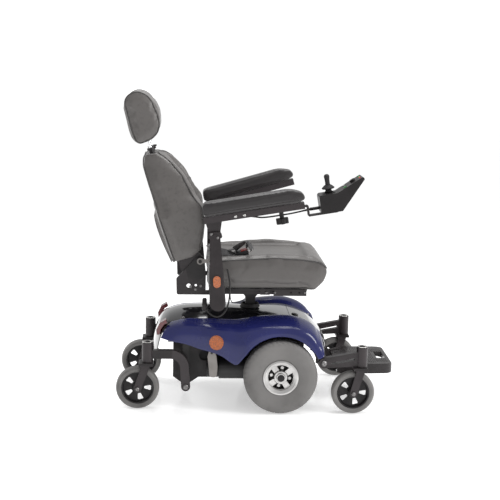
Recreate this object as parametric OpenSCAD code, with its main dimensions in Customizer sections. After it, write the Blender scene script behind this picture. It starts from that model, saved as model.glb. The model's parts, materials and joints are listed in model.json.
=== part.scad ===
// Mid-wheel power wheelchair with a captain's seat.
// +X is forward, +Y is the user's left, +Z is up. Millimetres.
// Every module is drawn with the drive axle at x = 0 and moved by placed() so that the
// origin lies on the floor at the centre of the footprint.

/* [Wheels] */
// Diameter of the drive wheels
drive_d = 305; // [290:1:370]
// Width of a drive tyre
drive_w = 92; // [74:1:106]
// Distance between the outer faces of the drive tyres
overall_w = 628; // [606:1:754]
// Outer diameter of the drive rims
drive_rim_d = 145; // [130:1:175]
// Diameter of the caster wheels
caster_d = 178; // [148:1:214]
// Width of a caster tyre
caster_w = 46; // [38:1:56]
// Distance that a front caster wheel trails behind its swivel
front_trail = 34; // [28:1:41]
// Distance that a rear caster wheel trails behind its swivel
rear_trail = 40; // [33:1:48]
// Distance between the front caster swivels
front_track = 554; // [520:1:665]
// Distance between the rear caster swivels
rear_track = 432; // [420:1:500]
// Distance from the drive axle forward to the front swivels
front_reach = 334; // [320:1:400]
// Distance from the drive axle back to the rear swivels
rear_reach = 546; // [520:1:655]

/* [Seat] */
// Width of the seat cushion
seat_w = 456; // [400:1:548]
// Depth of the seat cushion
seat_depth = 500; // [460:1:600]
// Thickness of the seat cushion at its sides
cushion_h = 134; // [112:1:161]
// Gap between the base cover and the seat pan
seat_gap = 90; // [80:1:150]
// Angle of the backrest from upright
back_tilt = 18; // [10:1:22]
// Height of the backrest cushion along its slope
back_len = 460; // [384:1:552]
// Width of the backrest cushion
back_w = 440; // [380:1:452]
// Width of the headrest
headrest_w = 256; // [213:1:307]
// Height of the headrest along its slope
headrest_len = 206; // [172:1:247]

/* [Armrests] */
// Length of an armrest pad
pad_len = 418; // [350:1:500]
// Width of an armrest pad
pad_w = 66; // [55:1:70]
// Thickness of an armrest pad
pad_h = 58; // [48:1:70]
// Height of the armrest pivots above the seat pan
arm_pivot_h = 261; // [230:1:310]
// Slope of the right armrest
arm_tilt_right = 9.5; // [0:0.5:16]
// Slope of the left armrest
arm_tilt_left = 16; // [0:0.5:18]

// How much lower the left armrest is set
arm_drop_left = 12; // [0:1:20]
// How much further forward the left pad is set
pad_shift_left = 24; // [0:1:30]

/* [Clearances] */
// Radial gap of a shaft that turns in its bore
run_gap = 0.05; // [0.02:0.01:0.1]
// Gap between separate pieces that are fixed together
seat_fit = 0.1; // [0.05:0.05:0.2]
// Gap between the drive tyre and its wheel arch
arch_gap = 19; // [12:1:25]

/* [Hidden] */
$fn = 48;

RIGHT = -1;
LEFT = 1;

// Wheels and casters
drive_r = drive_d / 2;
drive_rim_r = drive_rim_d / 2;
drive_y = overall_w / 2 - drive_w / 2;
shaft_r = 12.5;
caster_r = caster_d / 2;
caster_rim_r = caster_r - 22;
axle_r = 6;
stem_r = 12;
crown_z = caster_d + 6;
crown_h = 12;
barrel_z = crown_z + crown_h + 2;
barrel_h = 81;
barrel_r = 23;

// Base
rail_size = 30;
rail_wall = 2.5;
rail_y = 118;
deck_z = drive_d + 79;
rail_z = deck_z - 110;
side_plate = 4;
bay_y = rail_y - rail_size / 2;
battery = [165, 2 * bay_y - 8, 148];
tray_z = 100;
tray_t = 4;
bay_x0 = -418;
bay_x1 = -60;
front_pivot_x = drive_r + 24;
front_pivot_z = 212;
pivot_r = 10;
rear_pivot_x = -rear_reach + rear_trail + caster_r + 29;
rear_pivot_z = 92;
rear_arm_h = 36;
rear_arm_w = 24;
frame_back_x = rear_pivot_x - 60;
frame_front_x = front_pivot_x;
seam_y = 130;
seam_gap = 0.6;
panel_y = overall_w / 2 - 24;
skin = 3;
arch_r = drive_r + arch_gap;
post_x = -115;
post_size = 42;
socket_wall = 4;
socket_h = 108;
post_lift = 50;

// Footplate
footplate_w = front_track - 2 * (front_trail + caster_r + 11);
footplate_x0 = 252;
footplate_len = 240;
footplate_z = 126;
footplate_h = 45;
foot_hinge_x = footplate_x0 + 8;
foot_hinge_r = 8;

// Seat
pan_z = deck_z + seat_gap;
pan_t = 28;
cushion_z = pan_z + pan_t + 2;
seat_front_x = 186;
seat_back_x = seat_front_x - seat_depth + 9;
seat_top_z = cushion_z + cushion_h;
dish_depth = 20;
bolster_w = 62;
recline_x = seat_back_x - 30;
recline_z = seat_top_z - 16;
recline_r = 7;
bracket_y = seat_w / 2 - 22;
bracket_t = 5;
hinge_y = bracket_y - bracket_t - 2;

// Armrests
arm_y = seat_w / 2 + 7 + pad_w / 2;
arm_pivot_x = -277;
arm_pivot_z = pan_z + arm_pivot_h;
arm_pivot_r = 7;
channel_w = 40;
channel_h = 26;
channel_z = 54;
channel_wall = 3;
channel_x0 = -36;
channel_len = pad_len - 10;
arm_hub = 16;
post_depth = 66;
post_width = 44;
post_lean = 3;
post_bottom_z = pan_z - 47;

// Controller, measured in the right armrest's own frame from its pivot
ctl_w = 92;
ctl_x = channel_x0 + pad_len + 50;
ctl_wall = 3;
ctl_deck_z = 101;
ctl_floor_z = 26;
stick_x = ctl_x + 44;
panel_slope = 24;
panel_x = ctl_x + 74;
panel_len = 120;
bar_w = 25;
bar_t = 7;
bar_z = channel_z + 5;
knob_x = 276;
knob_r = 26;
cable_r = 3.5;

// Overall length, and the shift that centres the footprint on the origin
x_rear = -(rear_reach + rear_trail + caster_r);
x_front = footplate_x0 + footplate_len;
x_shift = -(x_rear + x_front) / 2;

// ---------- helpers ----------

module placed() translate([x_shift, 0, 0]) children();

// Draws a child made for the left side (+Y) on either side.
module on_side(side) {
    if (side > 0) children();
    else mirror([0, 1, 0]) children();
}

module both_sides() {
    children();
    mirror([0, 1, 0]) children();
}

// Extrudes a side profile (x, z) from y0 to y1.
module slab(y0, y1) translate([0, y1, 0]) rotate([90, 0, 0]) linear_extrude(y1 - y0) children();

// Stands a part that was drawn about the z axis along +Y.
module along_y(x, y, z) translate([x, y, z]) rotate([-90, 0, 0]) children();

module pin_y(x, z, r, y0, y1) along_y(x, y0, z) cylinder(r = r, h = y1 - y0);

module block(x0, x1, y0, y1, z0, z1) translate([x0, y0, z0]) cube([x1 - x0, y1 - y0, z1 - z0]);

module tube_x(x0, x1, y, z, size, wall) difference() {
    block(x0, x1, y - size / 2, y + size / 2, z - size / 2, z + size / 2);
    block(x0 - 1, x1 + 1, y - size / 2 + wall, y + size / 2 - wall, z - size / 2 + wall,
        z + size / 2 - wall);
}

module tube_y(y0, y1, x, z, size, wall) difference() {
    block(x - size / 2, x + size / 2, y0, y1, z - size / 2, z + size / 2);
    block(x - size / 2 + wall, x + size / 2 - wall, y0 - 1, y1 + 1, z - size / 2 + wall,
        z + size / 2 - wall);
}

// Points of an arc, from angle a0 to a1.
function arc(c, r, a0, a1, n = 8) =
    [for (i = [0:n]) let (a = a0 + (a1 - a0) * i / n) [c[0] + r * cos(a), c[1] + r * sin(a)]];

// Outline of a link between two round ends.
function link_outline(p, rp, q, rq) =
    let (d = norm(q - p), a = atan2(q[1] - p[1], q[0] - p[0]), t = acos((rp - rq) / d))
    concat(arc(p, rp, a + t, a + 360 - t, 10), arc(q, rq, a - t, a + t, 10));

// A closed outline whose corners are rounded: each entry is [x, z, radius].
function unit(v) = v / norm(v);
function corner(a, b, c, r, n) =
    let (u = unit(a - b), v = unit(c - b), half = acos(u * v) / 2, d = r / tan(half),
        centre = b + unit(u + v) * r / sin(half),
        p = b + u * d, q = b + v * d,
        a0 = atan2(p[1] - centre[1], p[0] - centre[0]),
        a1 = atan2(q[1] - centre[1], q[0] - centre[0]),
        turn = (a1 - a0 > 180) ? a1 - a0 - 360 : (a1 - a0 < -180) ? a1 - a0 + 360 : a1 - a0)
    arc(centre, r, a0, a0 + turn, n);
function rounded(pts, n = 6) = [for (i = [0:len(pts) - 1])
    let (m = len(pts), a = pts[(i + m - 1) % m], b = pts[i], c = pts[(i + 1) % m],
        p = [a[0], a[1]], q = [b[0], b[1]], s = [c[0], c[1]])
    each b[2] > 0 ? corner(p, q, s, b[2], n) : [q]];

// A Catmull-Rom curve through points, n steps a span.
function cr(a, b, c, d, t) = 0.5 * ((2 * b) + (c - a) * t + (2 * a - 5 * b + 4 * c - d) * t * t
    + (3 * b - a - 3 * c + d) * t * t * t);
function curve(p, n = 5) = [for (i = [0:len(p) - 2]) for (k = [0:n - 1])
    cr(p[max(i - 1, 0)], p[i], p[i + 1], p[min(i + 2, len(p) - 1)], k / n), p[len(p) - 1]];

// A closed tube swept along points, with sides flat facets round it.
module sweep(path, r, sides = 8) {
    m = len(path);
    dirs = [for (i = [0:m - 1]) unit(path[min(i + 1, m - 1)] - path[max(i - 1, 0)])];
    up = [0, 1, 0];
    rings = [for (i = [0:m - 1])
        let (t = dirs[i], s0 = cross(abs(t * up) > 0.95 ? [1, 0, 0] : up, t), s = unit(s0),
            n = cross(t, s))
        for (k = [0:sides - 1]) path[i] + r * (cos(360 * k / sides) * s + sin(360 * k / sides) * n)];
    walls = [for (i = [0:m - 2]) for (k = [0:sides - 1])
        [i * sides + k, (i + 1) * sides + k, (i + 1) * sides + (k + 1) % sides,
            i * sides + (k + 1) % sides]];
    start = [[for (k = [0:sides - 1]) k]];
    end = [[for (k = [sides - 1:-1:0]) (m - 1) * sides + k]];
    polyhedron(points = rings, faces = concat(walls, start, end));
}

// A thin shell through a grid of points; rows run along the body and columns across it.
function grid_normal(g, i, j) =
    unit(cross(g[min(i + 1, len(g) - 1)][j] - g[max(i - 1, 0)][j],
        g[i][min(j + 1, len(g[0]) - 1)] - g[i][max(j - 1, 0)]));
module shell(g, t) {
    rows = len(g);
    cols = len(g[0]);
    n = rows * cols;
    outer = [for (i = [0:rows - 1]) for (j = [0:cols - 1]) g[i][j]];
    inner = [for (i = [0:rows - 1]) for (j = [0:cols - 1]) g[i][j] - t * grid_normal(g, i, j)];
    quads = concat(
        [for (i = [0:rows - 2]) for (j = [0:cols - 2]) let (k = i * cols + j)
            [k, k + 1, k + cols + 1, k + cols]],
        [for (i = [0:rows - 2]) for (j = [0:cols - 2]) let (k = n + i * cols + j)
            [k + cols, k + cols + 1, k + 1, k]],
        [for (i = [0:rows - 2]) let (k = i * cols) [k, k + cols, k + cols + n, k + n]],
        [for (i = [0:rows - 2]) let (k = i * cols + cols - 1) [k + n, k + cols + n, k + cols, k]],
        [for (j = [0:cols - 2]) [j + 1, j, j + n, j + 1 + n]],
        [for (j = [0:cols - 2]) let (k = (rows - 1) * cols + j) [k, k + 1, k + 1 + n, k + n]]);
    polyhedron(points = concat(outer, inner),
        faces = [for (q = quads) each [[q[0], q[1], q[2]], [q[0], q[2], q[3]]]]);
}

// ---------- base ----------

module side_plate_profile() difference() {
    polygon([[bay_x0 - 24, rail_z - rail_size / 2], [bay_x0 - 24, rear_pivot_z + 10],
        [rear_pivot_x - 16, rear_pivot_z - 18], [rear_pivot_x + 16, rear_pivot_z - 18],
        [rear_pivot_x + 54, tray_z], [60, tray_z], [110, tray_z + 70], [110, rail_z - rail_size / 2]]);
    for (x = [bay_x0 + 110, bay_x1 - 100]) translate([x, tray_z + 95]) circle(r = 24);
}

module frame_shape() {
    arm_in = rear_track / 2 - rear_arm_w / 2;
    both_sides() {
        tube_x(frame_back_x - rail_size / 2, frame_front_x - 9, rail_y, rail_z, rail_size, rail_wall);
        slab(bay_y, bay_y + side_plate) side_plate_profile();
        // uprights and cross tubes that hold the rear arm pivots
        block(rear_pivot_x - 14, rear_pivot_x + 14, arm_in - 10, arm_in - 2, rear_pivot_z - 16,
            rail_z + rail_size / 2);
        tube_y(rail_y + rail_size / 2, arm_in - 10, rear_pivot_x, rail_z, rail_size, rail_wall);
        pin_y(rear_pivot_x, rear_pivot_z, 13, bay_y + 1, arm_in - 2);
        pin_y(rear_pivot_x, rear_pivot_z, 8, bay_y + 1, rear_track / 2 + rear_arm_w / 2 + 4);
        // front outriggers and cross tube that carry the caster arm pivots
        block(frame_front_x - 14, frame_front_x + 8, rail_y - 10, rail_y + 10,
            front_pivot_z + rail_size / 2 - 1, rail_z - rail_size / 2 + 1);
        tube_y(0, front_track / 2 - 18, frame_front_x, front_pivot_z, rail_size, rail_wall);
        block(frame_front_x - 14, frame_front_x + 14, front_track / 2 - 22, front_track / 2 - 18,
            front_pivot_z - 14, front_pivot_z + 14);
        pin_y(front_pivot_x, front_pivot_z, pivot_r, front_track / 2 - 19, front_track / 2 + 18);
    }
    block(bay_x0, 60, -bay_y, bay_y, tray_z, tray_z + tray_t);
    for (x = [frame_back_x, post_x - 75, post_x + 75, frame_front_x - 24])
        tube_y(-rail_y + rail_size / 2, rail_y - rail_size / 2, x, rail_z, rail_size, rail_wall);
    seat_socket();
}

// Square socket that the seat post slides in, with the plate that carries it.
module seat_socket() {
    outer = post_size / 2 + socket_wall;
    inner = post_size / 2 + 0.4;
    top = deck_z - 14;
    difference() {
        union() {
            block(post_x - outer, post_x + outer, -outer, outer, top - socket_h, top);
            block(post_x - 64, post_x + 64, -outer - 8, outer + 8, rail_z + rail_size / 2 - 6,
                rail_z + rail_size / 2);
        }
        block(post_x - inner, post_x + inner, -inner, inner, top - socket_h - 1, top + 1);
    }
}

module frame() color("#2b2a2c") frame_shape();

// Rear arm: a barrel for the caster stem, a bar and a bend down to the pivot.
function rear_arm_outline() =
    let (h = rear_arm_h / 2, z = barrel_z + barrel_h / 2 - 9, bend = 58,
        cx = rear_pivot_x - 6 - bend, cz = z - bend)
    concat([[-rear_reach, z + h]],
        arc([cx, cz], bend + h, 90, 8, 10),
        arc([rear_pivot_x, rear_pivot_z], h + 1, 0, -180, 10),
        arc([cx, cz], bend - h, 2, 90, 8),
        [[-rear_reach, z - h]]);

module rear_arms() color("#302d2f") both_sides() difference() {
    union() {
        slab(rear_track / 2 - rear_arm_w / 2, rear_track / 2 + rear_arm_w / 2)
            polygon(rear_arm_outline());
        translate([-rear_reach, rear_track / 2, barrel_z]) cylinder(r = barrel_r, h = barrel_h);
    }
    translate([-rear_reach, rear_track / 2, barrel_z - 1])
        cylinder(r = stem_r + run_gap, h = barrel_h + 2);
    pin_y(rear_pivot_x, rear_pivot_z, 8 + run_gap, rear_track / 2 - rear_arm_w,
        rear_track / 2 + rear_arm_w);
}

module batteries() color("#1d1d1f") for (k = [0, 1])
    translate([bay_x0 + 6 + k * (battery[0] + 6), -battery[1] / 2, tray_z + tray_t + seat_fit]) {
        cube([battery[0], battery[1], battery[2] - 12]);
        translate([6, 6, battery[2] - 12]) cube([battery[0] - 12, battery[1] - 12, 6]);
        for (y = [28, battery[1] - 28]) translate([22, y, battery[2] - 6]) cylinder(r = 7, h = 8);
    }

// Right-angle gear motor with its brake, a lever bracket and the lever's pin.
motor_y = bay_y + side_plate + 48;
motor_back = -250;
lever_x = -282;
lever_z = 234;
lever_y = drive_y - drive_w / 2 - 10;
module drive_motors() color("#26262a") both_sides() difference() {
    union() {
        slab(bay_y + side_plate + seat_fit, bay_y + side_plate + 82)
            polygon(rounded([[-62, drive_r - 52, 14], [52, drive_r - 52, 14],
                [52, drive_r + 48, 18], [-62, drive_r + 48, 18]]));
        pin_y(0, drive_r, 30, bay_y + side_plate + 81, drive_y - drive_w / 2 - 6);
        translate([motor_back, motor_y, drive_r]) rotate([0, 90, 0]) cylinder(r = 43, h = -motor_back - 61);
        translate([motor_back - 52, motor_y, drive_r]) rotate([0, 90, 0]) cylinder(r = 35, h = 53);
        block(lever_x - 15, lever_x + 15, motor_y - 8, motor_y + 10, drive_r + 20, lever_z + 14);
        pin_y(lever_x, lever_z, 5, motor_y + 9, lever_y + 6);
    }
    pin_y(0, drive_r, shaft_r + run_gap, bay_y + side_plate + 12, drive_y);
}

module control_module() color("#1f2023") {
    difference() {
        block(-40, 84, -bay_y + 6, bay_y - 6, tray_z + tray_t + seat_fit, tray_z + tray_t + 62);
        for (k = [0:6]) block(-30 + k * 16, -24 + k * 16, -bay_y + 5, bay_y - 5,
            tray_z + tray_t + 50, tray_z + tray_t + 63);
    }
}

// Deck stations of the black cover, rear to front:
// [x, z on the centre line, half width, how far the edge moves forward, how far it drops]
cover_back_x = frame_back_x - 82;
cover_front_x = frame_front_x + 35;
cover_foot_z = crown_z + crown_h + 9;
function deck_stations() = let (b = cover_back_x, f = cover_front_x, d = deck_z, h = seam_y - seam_gap / 2)
    [[b, cover_foot_z, 168, 22, 0], [b + 4, cover_foot_z + 35, 172, 22, 0], [b + 13, d - 99, 176, 22, 2],
        [b + 28, d - 59, 176, 20, 8], [b + 50, d - 32, 160, 8, 20], [b + 78, d - 17, h, 0, 26],
        [b + 115, d - 6, h, 0, 27], [b + 160, d - 1, h, 0, 27], [b + 230, d + 1, h, 0, 28],
        [b + 300, d + 1, h, 0, 29], [-170, d - 1, h, 0, 29], [-115, d - 4, h, 0, 22],
        [-60, d - 8, h, 0, 11], [0, d - 12, h, 0, 4], [50, d - 18, h, 0, 3], [f - 116, d - 31, h, 0, 3],
        [f - 76, d - 52, h, 0, 2], [f - 46, d - 76, h, -4, 0], [f - 21, d - 102, h, -10, 0],
        [f - 6, d - 129, h + 4, -14, 0], [f, d - 158, h + 4, -16, 0]];

module top_cover() color("#111113") difference() {
    union() {
        shell([for (p = deck_stations()) [for (q = [-1:0.2:1]) let (f = pow(abs(q), 2.2))
            [p[0] + p[3] * f, p[2] * q, p[1] - p[4] * f]]], skin);
        translate([post_x, 0, deck_z - 7.5]) cylinder(r = grommet_r + 8, h = 6.5);
    }
    translate([post_x, 0, deck_z - 20]) cylinder(r = grommet_r, h = 40);
}
grommet_r = post_size * 0.7072 + 3;

// Stations of a side panel: [x at the seam, z of the seam, crest y and z, shoulder y and z,
// edge y and z, how far the edge lies behind the seam]. The heights are below the deck.
arch_angles = [150, 135, 120, 105, 90, 75, 60, 47, 36, 27];
arch_tops = [[28, 171, 19, 268, 50], [26, 177, 11, 272, 42], [22, 181, 4, 275, 33], [17, 184, 0, 276, 27],
    [16, 186, -3, 276, 24], [20, 186, -1, 276, 26], [31, 184, 9, 275, 36], [45, 180, 23, 272, 50],
    [57, 177, 39, 270, 68], [67, 174, 55, 267, 86]];
function panel_stations() = let (b = cover_back_x, f = cover_front_x, w = panel_y - 290, d = deck_z)
    concat([[b + 84, 40, 150, 40, 182, 59, 198, 92, 47], [b + 104, 35, 152, 33, 196, 50, 208, 103, 24],
        [b + 140, 28, 152, 25, 208, 46, 218, 112, 0], [b + 200, 27, 153, 24, 220, 46, 230, 130, 0],
        [b + 250, 28, 155, 25, 230, 48, 240, 141, 0], [b + 290, 29, 157, 26, 240, 50, 253, 154, 0],
        [-1.17 * arch_r, 30, 161, 27, 250, 54, 268, 178, 0],
        [-1.03 * arch_r, 30, 165, 25, 258, 54, 279, 181, 0]],
        [for (i = [0:len(arch_angles) - 1]) let (a = arch_angles[i], t = arch_tops[i])
            [arch_r * cos(a), t[0], t[1], t[2], t[3], t[4], 290, d - drive_r - arch_r * sin(a), 0]],
        [[f - 43, 80, 170, 72, 262, 104, 286, 150, 0], [f - 35, 98, 166, 92, 256, 122, 282, 146, 0]]);
function panel_row(p) = let (w = panel_y - 290, d = deck_z)
    curve([[p[0], seam_y + seam_gap / 2, d - p[1]], [p[0] - p[8] * 0.15, p[2] + w * 0.3, d - p[3]],
        [p[0] - p[8] * 0.6, p[4] + w, d - p[5]], [p[0] - p[8], p[6] + w, d - p[7]]], 3);

module side_panel(side) color("#26305f") on_side(side) {
    difference() {
        shell([for (p = panel_stations()) panel_row(p)], skin);
        at_reflector() translate([0, 0, -seat_fit]) cylinder(r = reflector_r + seat_fit, h = 40);
    }
    // rolled lip round the wheel arch
    slab(panel_y - 16, panel_y + 2) polygon(concat(
        arc([0, drive_r], arch_r, 36, 148, 14), arc([0, drive_r], arch_r + 5, 148, 36, 14)));
}

reflector_r = 30;
reflector_x = cover_back_x + 267;
reflector_z = deck_z - 98;
module at_reflector() translate([reflector_x, panel_y - 44.5, reflector_z]) rotate([0, 0, 14])
    rotate([-83, 0, 0]) children();
module side_reflectors() color("#e06414") both_sides() at_reflector() {
        cylinder(r = reflector_r, h = 5);
        translate([0, 0, 4.9]) cylinder(r = reflector_r - 4, h = 3);
    }

module tail_lights() color("#5c1418") both_sides() slab(138, 174) polygon([
    [cover_back_x + 20, deck_z - 84], [cover_back_x + 32, deck_z - 84], [cover_back_x + 36, deck_z - 62],
    [cover_back_x + 49, deck_z - 42], [cover_back_x + 63, deck_z - 34], [cover_back_x + 58, deck_z - 20],
    [cover_back_x + 32, deck_z - 34], [cover_back_x + 18, deck_z - 62]]);

// ---------- drive wheels ----------

function tyre_half(r_in, r_out, w, bead, k = 0.5) =
    let (rm = r_in + (r_out - r_in) * 0.42)
    concat([[r_in, -bead / 2], [r_in + 3, -bead / 2 - 1]],
        [for (a = [-90:10:90]) let (c = pow(cos(a), k), s = sign(a) * pow(abs(sin(a)), k))
            [rm + (r_out - rm) * c, w / 2 * s]],
        [[r_in + 3, bead / 2 + 1], [r_in, bead / 2]]);

module drive_tyre(side) color("#6f6d6c") on_side(side) along_y(0, drive_y, drive_r)
    rotate_extrude($fn = 96) polygon(tyre_half(drive_rim_r + seat_fit, drive_r, drive_w, drive_w - 30));

// Cast rim with four windows, and the output shaft with its cap.
rim_face = drive_w / 2 - 16;
module drive_rim(side) color("#a8a5a2") on_side(side) along_y(0, drive_y, drive_r) {
    difference() {
        rotate_extrude($fn = 96) polygon([[shaft_r + run_gap, -drive_w / 2 + 4], [30, -drive_w / 2 + 4],
            [30, -8], [drive_rim_r - 8, -8], [drive_rim_r - 8, -drive_w / 2 + 14],
            [drive_rim_r, -drive_w / 2 + 10], [drive_rim_r, rim_face + 4], [drive_rim_r - 7, rim_face + 6],
            [drive_rim_r - 19, rim_face], [drive_rim_r - 19, rim_face - 10], [30, rim_face - 10],
            [26, rim_face - 2], [shaft_r + run_gap, rim_face - 2]]);
        for (k = [0:3]) rotate([0, 0, 10 + 90 * k]) translate([0, 0, 2]) linear_extrude(drive_w)
            polygon(concat(arc([0, 0], drive_rim_r - 21, -31, 31, 8), arc([0, 0], 28, 22, -22, 5)));
    }
    translate([0, 0, -drive_w / 2 - 70]) cylinder(r = shaft_r, h = drive_w / 2 + 70 + rim_face - 2);
    translate([0, 0, rim_face - 2 + seat_fit]) cylinder(r = 18, h = 8);
    for (k = [0:3]) rotate([0, 0, 10 + 90 * k]) translate([38, 0, 2.1]) cylinder(r = 7, h = 8, $fn = 6);
}

// ---------- casters ----------

module front_arm(side) color("#302d2f") on_side(side) {
    y = front_track / 2;
    difference() {
        union() {
            slab(y - 13, y + 13) difference() {
                polygon(concat(arc([front_pivot_x, front_pivot_z], 21, 100, 262, 12),
                    [[front_reach - 4, barrel_z + 2], [front_reach - 4, barrel_z + barrel_h - 17]]));
                // slot between the upper and lower bars
                polygon(rounded([[front_pivot_x + 30, front_pivot_z + 3, 4],
                    [front_reach - 30, barrel_z + 38, 5], [front_reach - 30, barrel_z + 26, 5],
                    [front_pivot_x + 30, front_pivot_z - 6, 4]], 3));
            }
            translate([front_reach, y, barrel_z]) cylinder(r = barrel_r, h = barrel_h);
        }
        translate([front_reach, y, barrel_z - 1]) cylinder(r = stem_r + run_gap, h = barrel_h + 2);
        pin_y(front_pivot_x, front_pivot_z, pivot_r + run_gap, y - 20, y + 21);
    }
}

// Fork with its stem, two legs and the axle bolt. x and track place the swivel axis.
leg_t = 6;
leg_gap = 4;
module fork(x, y, side, trail) color("#2c292b") translate([x, 0, 0]) on_side(side) translate([0, y, 0]) {
    inner = caster_w / 2 + leg_gap;
    difference() {
        union() {
            translate([0, 0, crown_z + crown_h - 1]) cylinder(r = stem_r, h = barrel_h + 4);
            translate([0, 0, barrel_z + barrel_h + 0.5]) cylinder(r = stem_r + 8, h = 2.5);
            translate([0, 0, crown_z + crown_h - 1]) cylinder(r = barrel_r, h = 2.5);
            slab(-inner - leg_t, inner + leg_t) polygon(rounded([[-36, crown_z, 3], [24, crown_z, 3],
                [24, crown_z + crown_h, 4], [-36, crown_z + crown_h, 4]], 3));
            for (s = [-1, 1]) translate([0, s * (inner + leg_t / 2), 0]) slab(-leg_t / 2, leg_t / 2)
                polygon(link_outline([-trail, caster_r], 15, [-7, crown_z + 1], 17));
        }
        pin_y(-trail, caster_r, axle_r + run_gap, -inner - 2 * leg_t, inner + 2 * leg_t);
        translate([-60, -60, crown_z + crown_h]) difference() {
            cube([120, 120, 20]);
            translate([60, 60, -1]) cylinder(r = barrel_r, h = 22);
        }
    }
    pin_y(-trail, caster_r, axle_r, -inner - leg_t - 1, inner + leg_t + 1);
    for (s = [-1, 1]) translate([-trail, s * (inner + leg_t + 2.5 + seat_fit), caster_r]) rotate([90, 0, 0])
        cylinder(r = 10, h = 5, center = true, $fn = 6);
}

// Moulded caster rim with five windows and its two bearings, drawn about the z axis.
module caster_rim_shape() {
    hub_r = 20;
    w = caster_w - 8;
    bearing_r = 13;
    bearing_w = 9;
    difference() {
        rotate_extrude($fn = 72) polygon([[axle_r + 2, -w / 2], [hub_r, -w / 2], [hub_r + 3, -5],
            [caster_rim_r - 8, -5], [caster_rim_r - 5, -w / 2], [caster_rim_r, -w / 2],
            [caster_rim_r, w / 2], [caster_rim_r - 5, w / 2], [caster_rim_r - 8, 5], [hub_r + 3, 5],
            [hub_r, w / 2], [axle_r + 2, w / 2]]);
        for (k = [0:4]) rotate([0, 0, 4 + 72 * k]) translate([0, 0, -w]) linear_extrude(2 * w)
            polygon(rounded([[hub_r + 7, -6, 3], [caster_rim_r - 12, -13, 5], [caster_rim_r - 12, 13, 5],
                [hub_r + 7, 6, 3]], 4));
        for (s = [-1, 1]) translate([0, 0, s * (w / 2 - bearing_w / 2 + 0.5)])
            cylinder(r = bearing_r + run_gap, h = bearing_w + 1, center = true);
    }
    for (s = [-1, 1]) translate([0, 0, s * (w / 2 - bearing_w / 2)]) difference() {
        cylinder(r = bearing_r, h = bearing_w - 0.2, center = true);
        cylinder(r = axle_r + run_gap, h = bearing_w + 2, center = true);
    }
}

module caster_rim(x, track, side) color("#232124")
    along_y(x, side * track / 2, caster_r) caster_rim_shape();

module caster_tyre(x, track, side) color("#7a7877") along_y(x, side * track / 2, caster_r)
    rotate_extrude($fn = 72)
        polygon(tyre_half(caster_rim_r + seat_fit, caster_r, caster_w, caster_w - 8, 0.72));

// ---------- footplate and brake levers ----------

module footplate_bracket() color("#262427") {
    top = front_pivot_z - rail_size / 2;
    both_sides() difference() {
        slab(footplate_w / 2 - 42, footplate_w / 2 - 34) polygon([[front_pivot_x - 12, top - seat_fit],
            [front_pivot_x + 15, top - seat_fit], [foot_hinge_x + 4, footplate_z + 34],
            [foot_hinge_x + 12, footplate_z + 20], [foot_hinge_x - 2, footplate_z + 8],
            [front_pivot_x - 12, top - 34]]);
        pin_y(foot_hinge_x, footplate_z + 20, foot_hinge_r + run_gap, 0, footplate_w);
    }
    block(front_pivot_x - 12, front_pivot_x + 12, -footplate_w / 2 + 42, footplate_w / 2 - 42, top - 12,
        top - seat_fit);
}

// Moulded footplate: hollow tray, hand slot and hinge rod.
module foot_plan(inset) translate([0, 0, footplate_z - 2]) linear_extrude(footplate_h + 4)
    let (w = footplate_w / 2 - inset, x0 = footplate_x0 - 2 + inset, x1 = footplate_x0 + footplate_len - inset)
        polygon(rounded([[x0, -w, 3], [x1 - 6, -w, 40], [x1, -w + 40, 60], [x1, w - 40, 60],
            [x1 - 6, w, 40], [x0, w, 3]], 8));
module footplate() color("#3b3839") {
    w = footplate_w / 2;
    top = footplate_z + footplate_h;
    x0 = footplate_x0;
    difference() {
        intersection() {
            slab(-w, w) polygon(rounded([[x0, footplate_z + 6, 5], [x0 + 24, footplate_z, 6],
                [x0 + footplate_len, footplate_z + 3, 8], [x0 + footplate_len, top, 9],
                [x0 + 60, top, 6], [x0 + 28, top - 6, 5], [x0, footplate_z + 34, 5]]));
            foot_plan(0);
        }
        intersection() {
            slab(-w + 5, w - 5) polygon([[x0 + 30, footplate_z - 3], [x0 + footplate_len - 6, footplate_z - 3],
                [x0 + footplate_len - 6, top - 10], [x0 + 30, top - 10]]);
            foot_plan(6);
        }
        // hinge slots round the bracket ears
        both_sides() block(x0 - 1, x0 + 40, w - 44, w - 32, footplate_z - 1, top + 1);
        // hand slot
        block(x0 + footplate_len - 56, x0 + footplate_len - 20, -50, 50, footplate_z - 1, top + 1);
    }
    pin_y(foot_hinge_x, footplate_z + 20, foot_hinge_r, -w + 4, w - 4);
}

module brake_lever(side) color("#8f8c89") on_side(side) difference() {
    slab(lever_y - 6, lever_y + 5) {
        polygon(rounded([[lever_x - 10, lever_z + 10, 8], [lever_x - 17, lever_z - 16, 10],
            [lever_x - 12, lever_z - 60, 60], [lever_x - 8, lever_z - 103, 12],
            [lever_x + 22, lever_z - 104, 12], [lever_x + 25, lever_z - 56, 60],
            [lever_x + 20, lever_z - 14, 10], [lever_x + 11, lever_z + 10, 8]], 5));
    }
    pin_y(lever_x, lever_z, 5 + run_gap, lever_y - 7, lever_y + 8);
}

// ---------- seat ----------

module seat_post() color("#29272a") {
    top = pan_z - seat_fit;
    low = deck_z - 14 - socket_h + 4;
    difference() {
        block(post_x - post_size / 2, post_x + post_size / 2, -post_size / 2, post_size / 2, low, top - 6);
        block(post_x - post_size / 2 + 3, post_x + post_size / 2 - 3, -post_size / 2 + 3, post_size / 2 - 3,
            low - 1, top - 20);
    }
    block(post_x - 70, post_x + 70, -60, 60, top - 6.5, top);
    both_sides() slab(30, 36) polygon([[post_x - 48, top - 6.2], [post_x + 48, top - 6.2],
        [post_x + 22, top - 40], [post_x - 22, top - 40]]);
}

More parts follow.
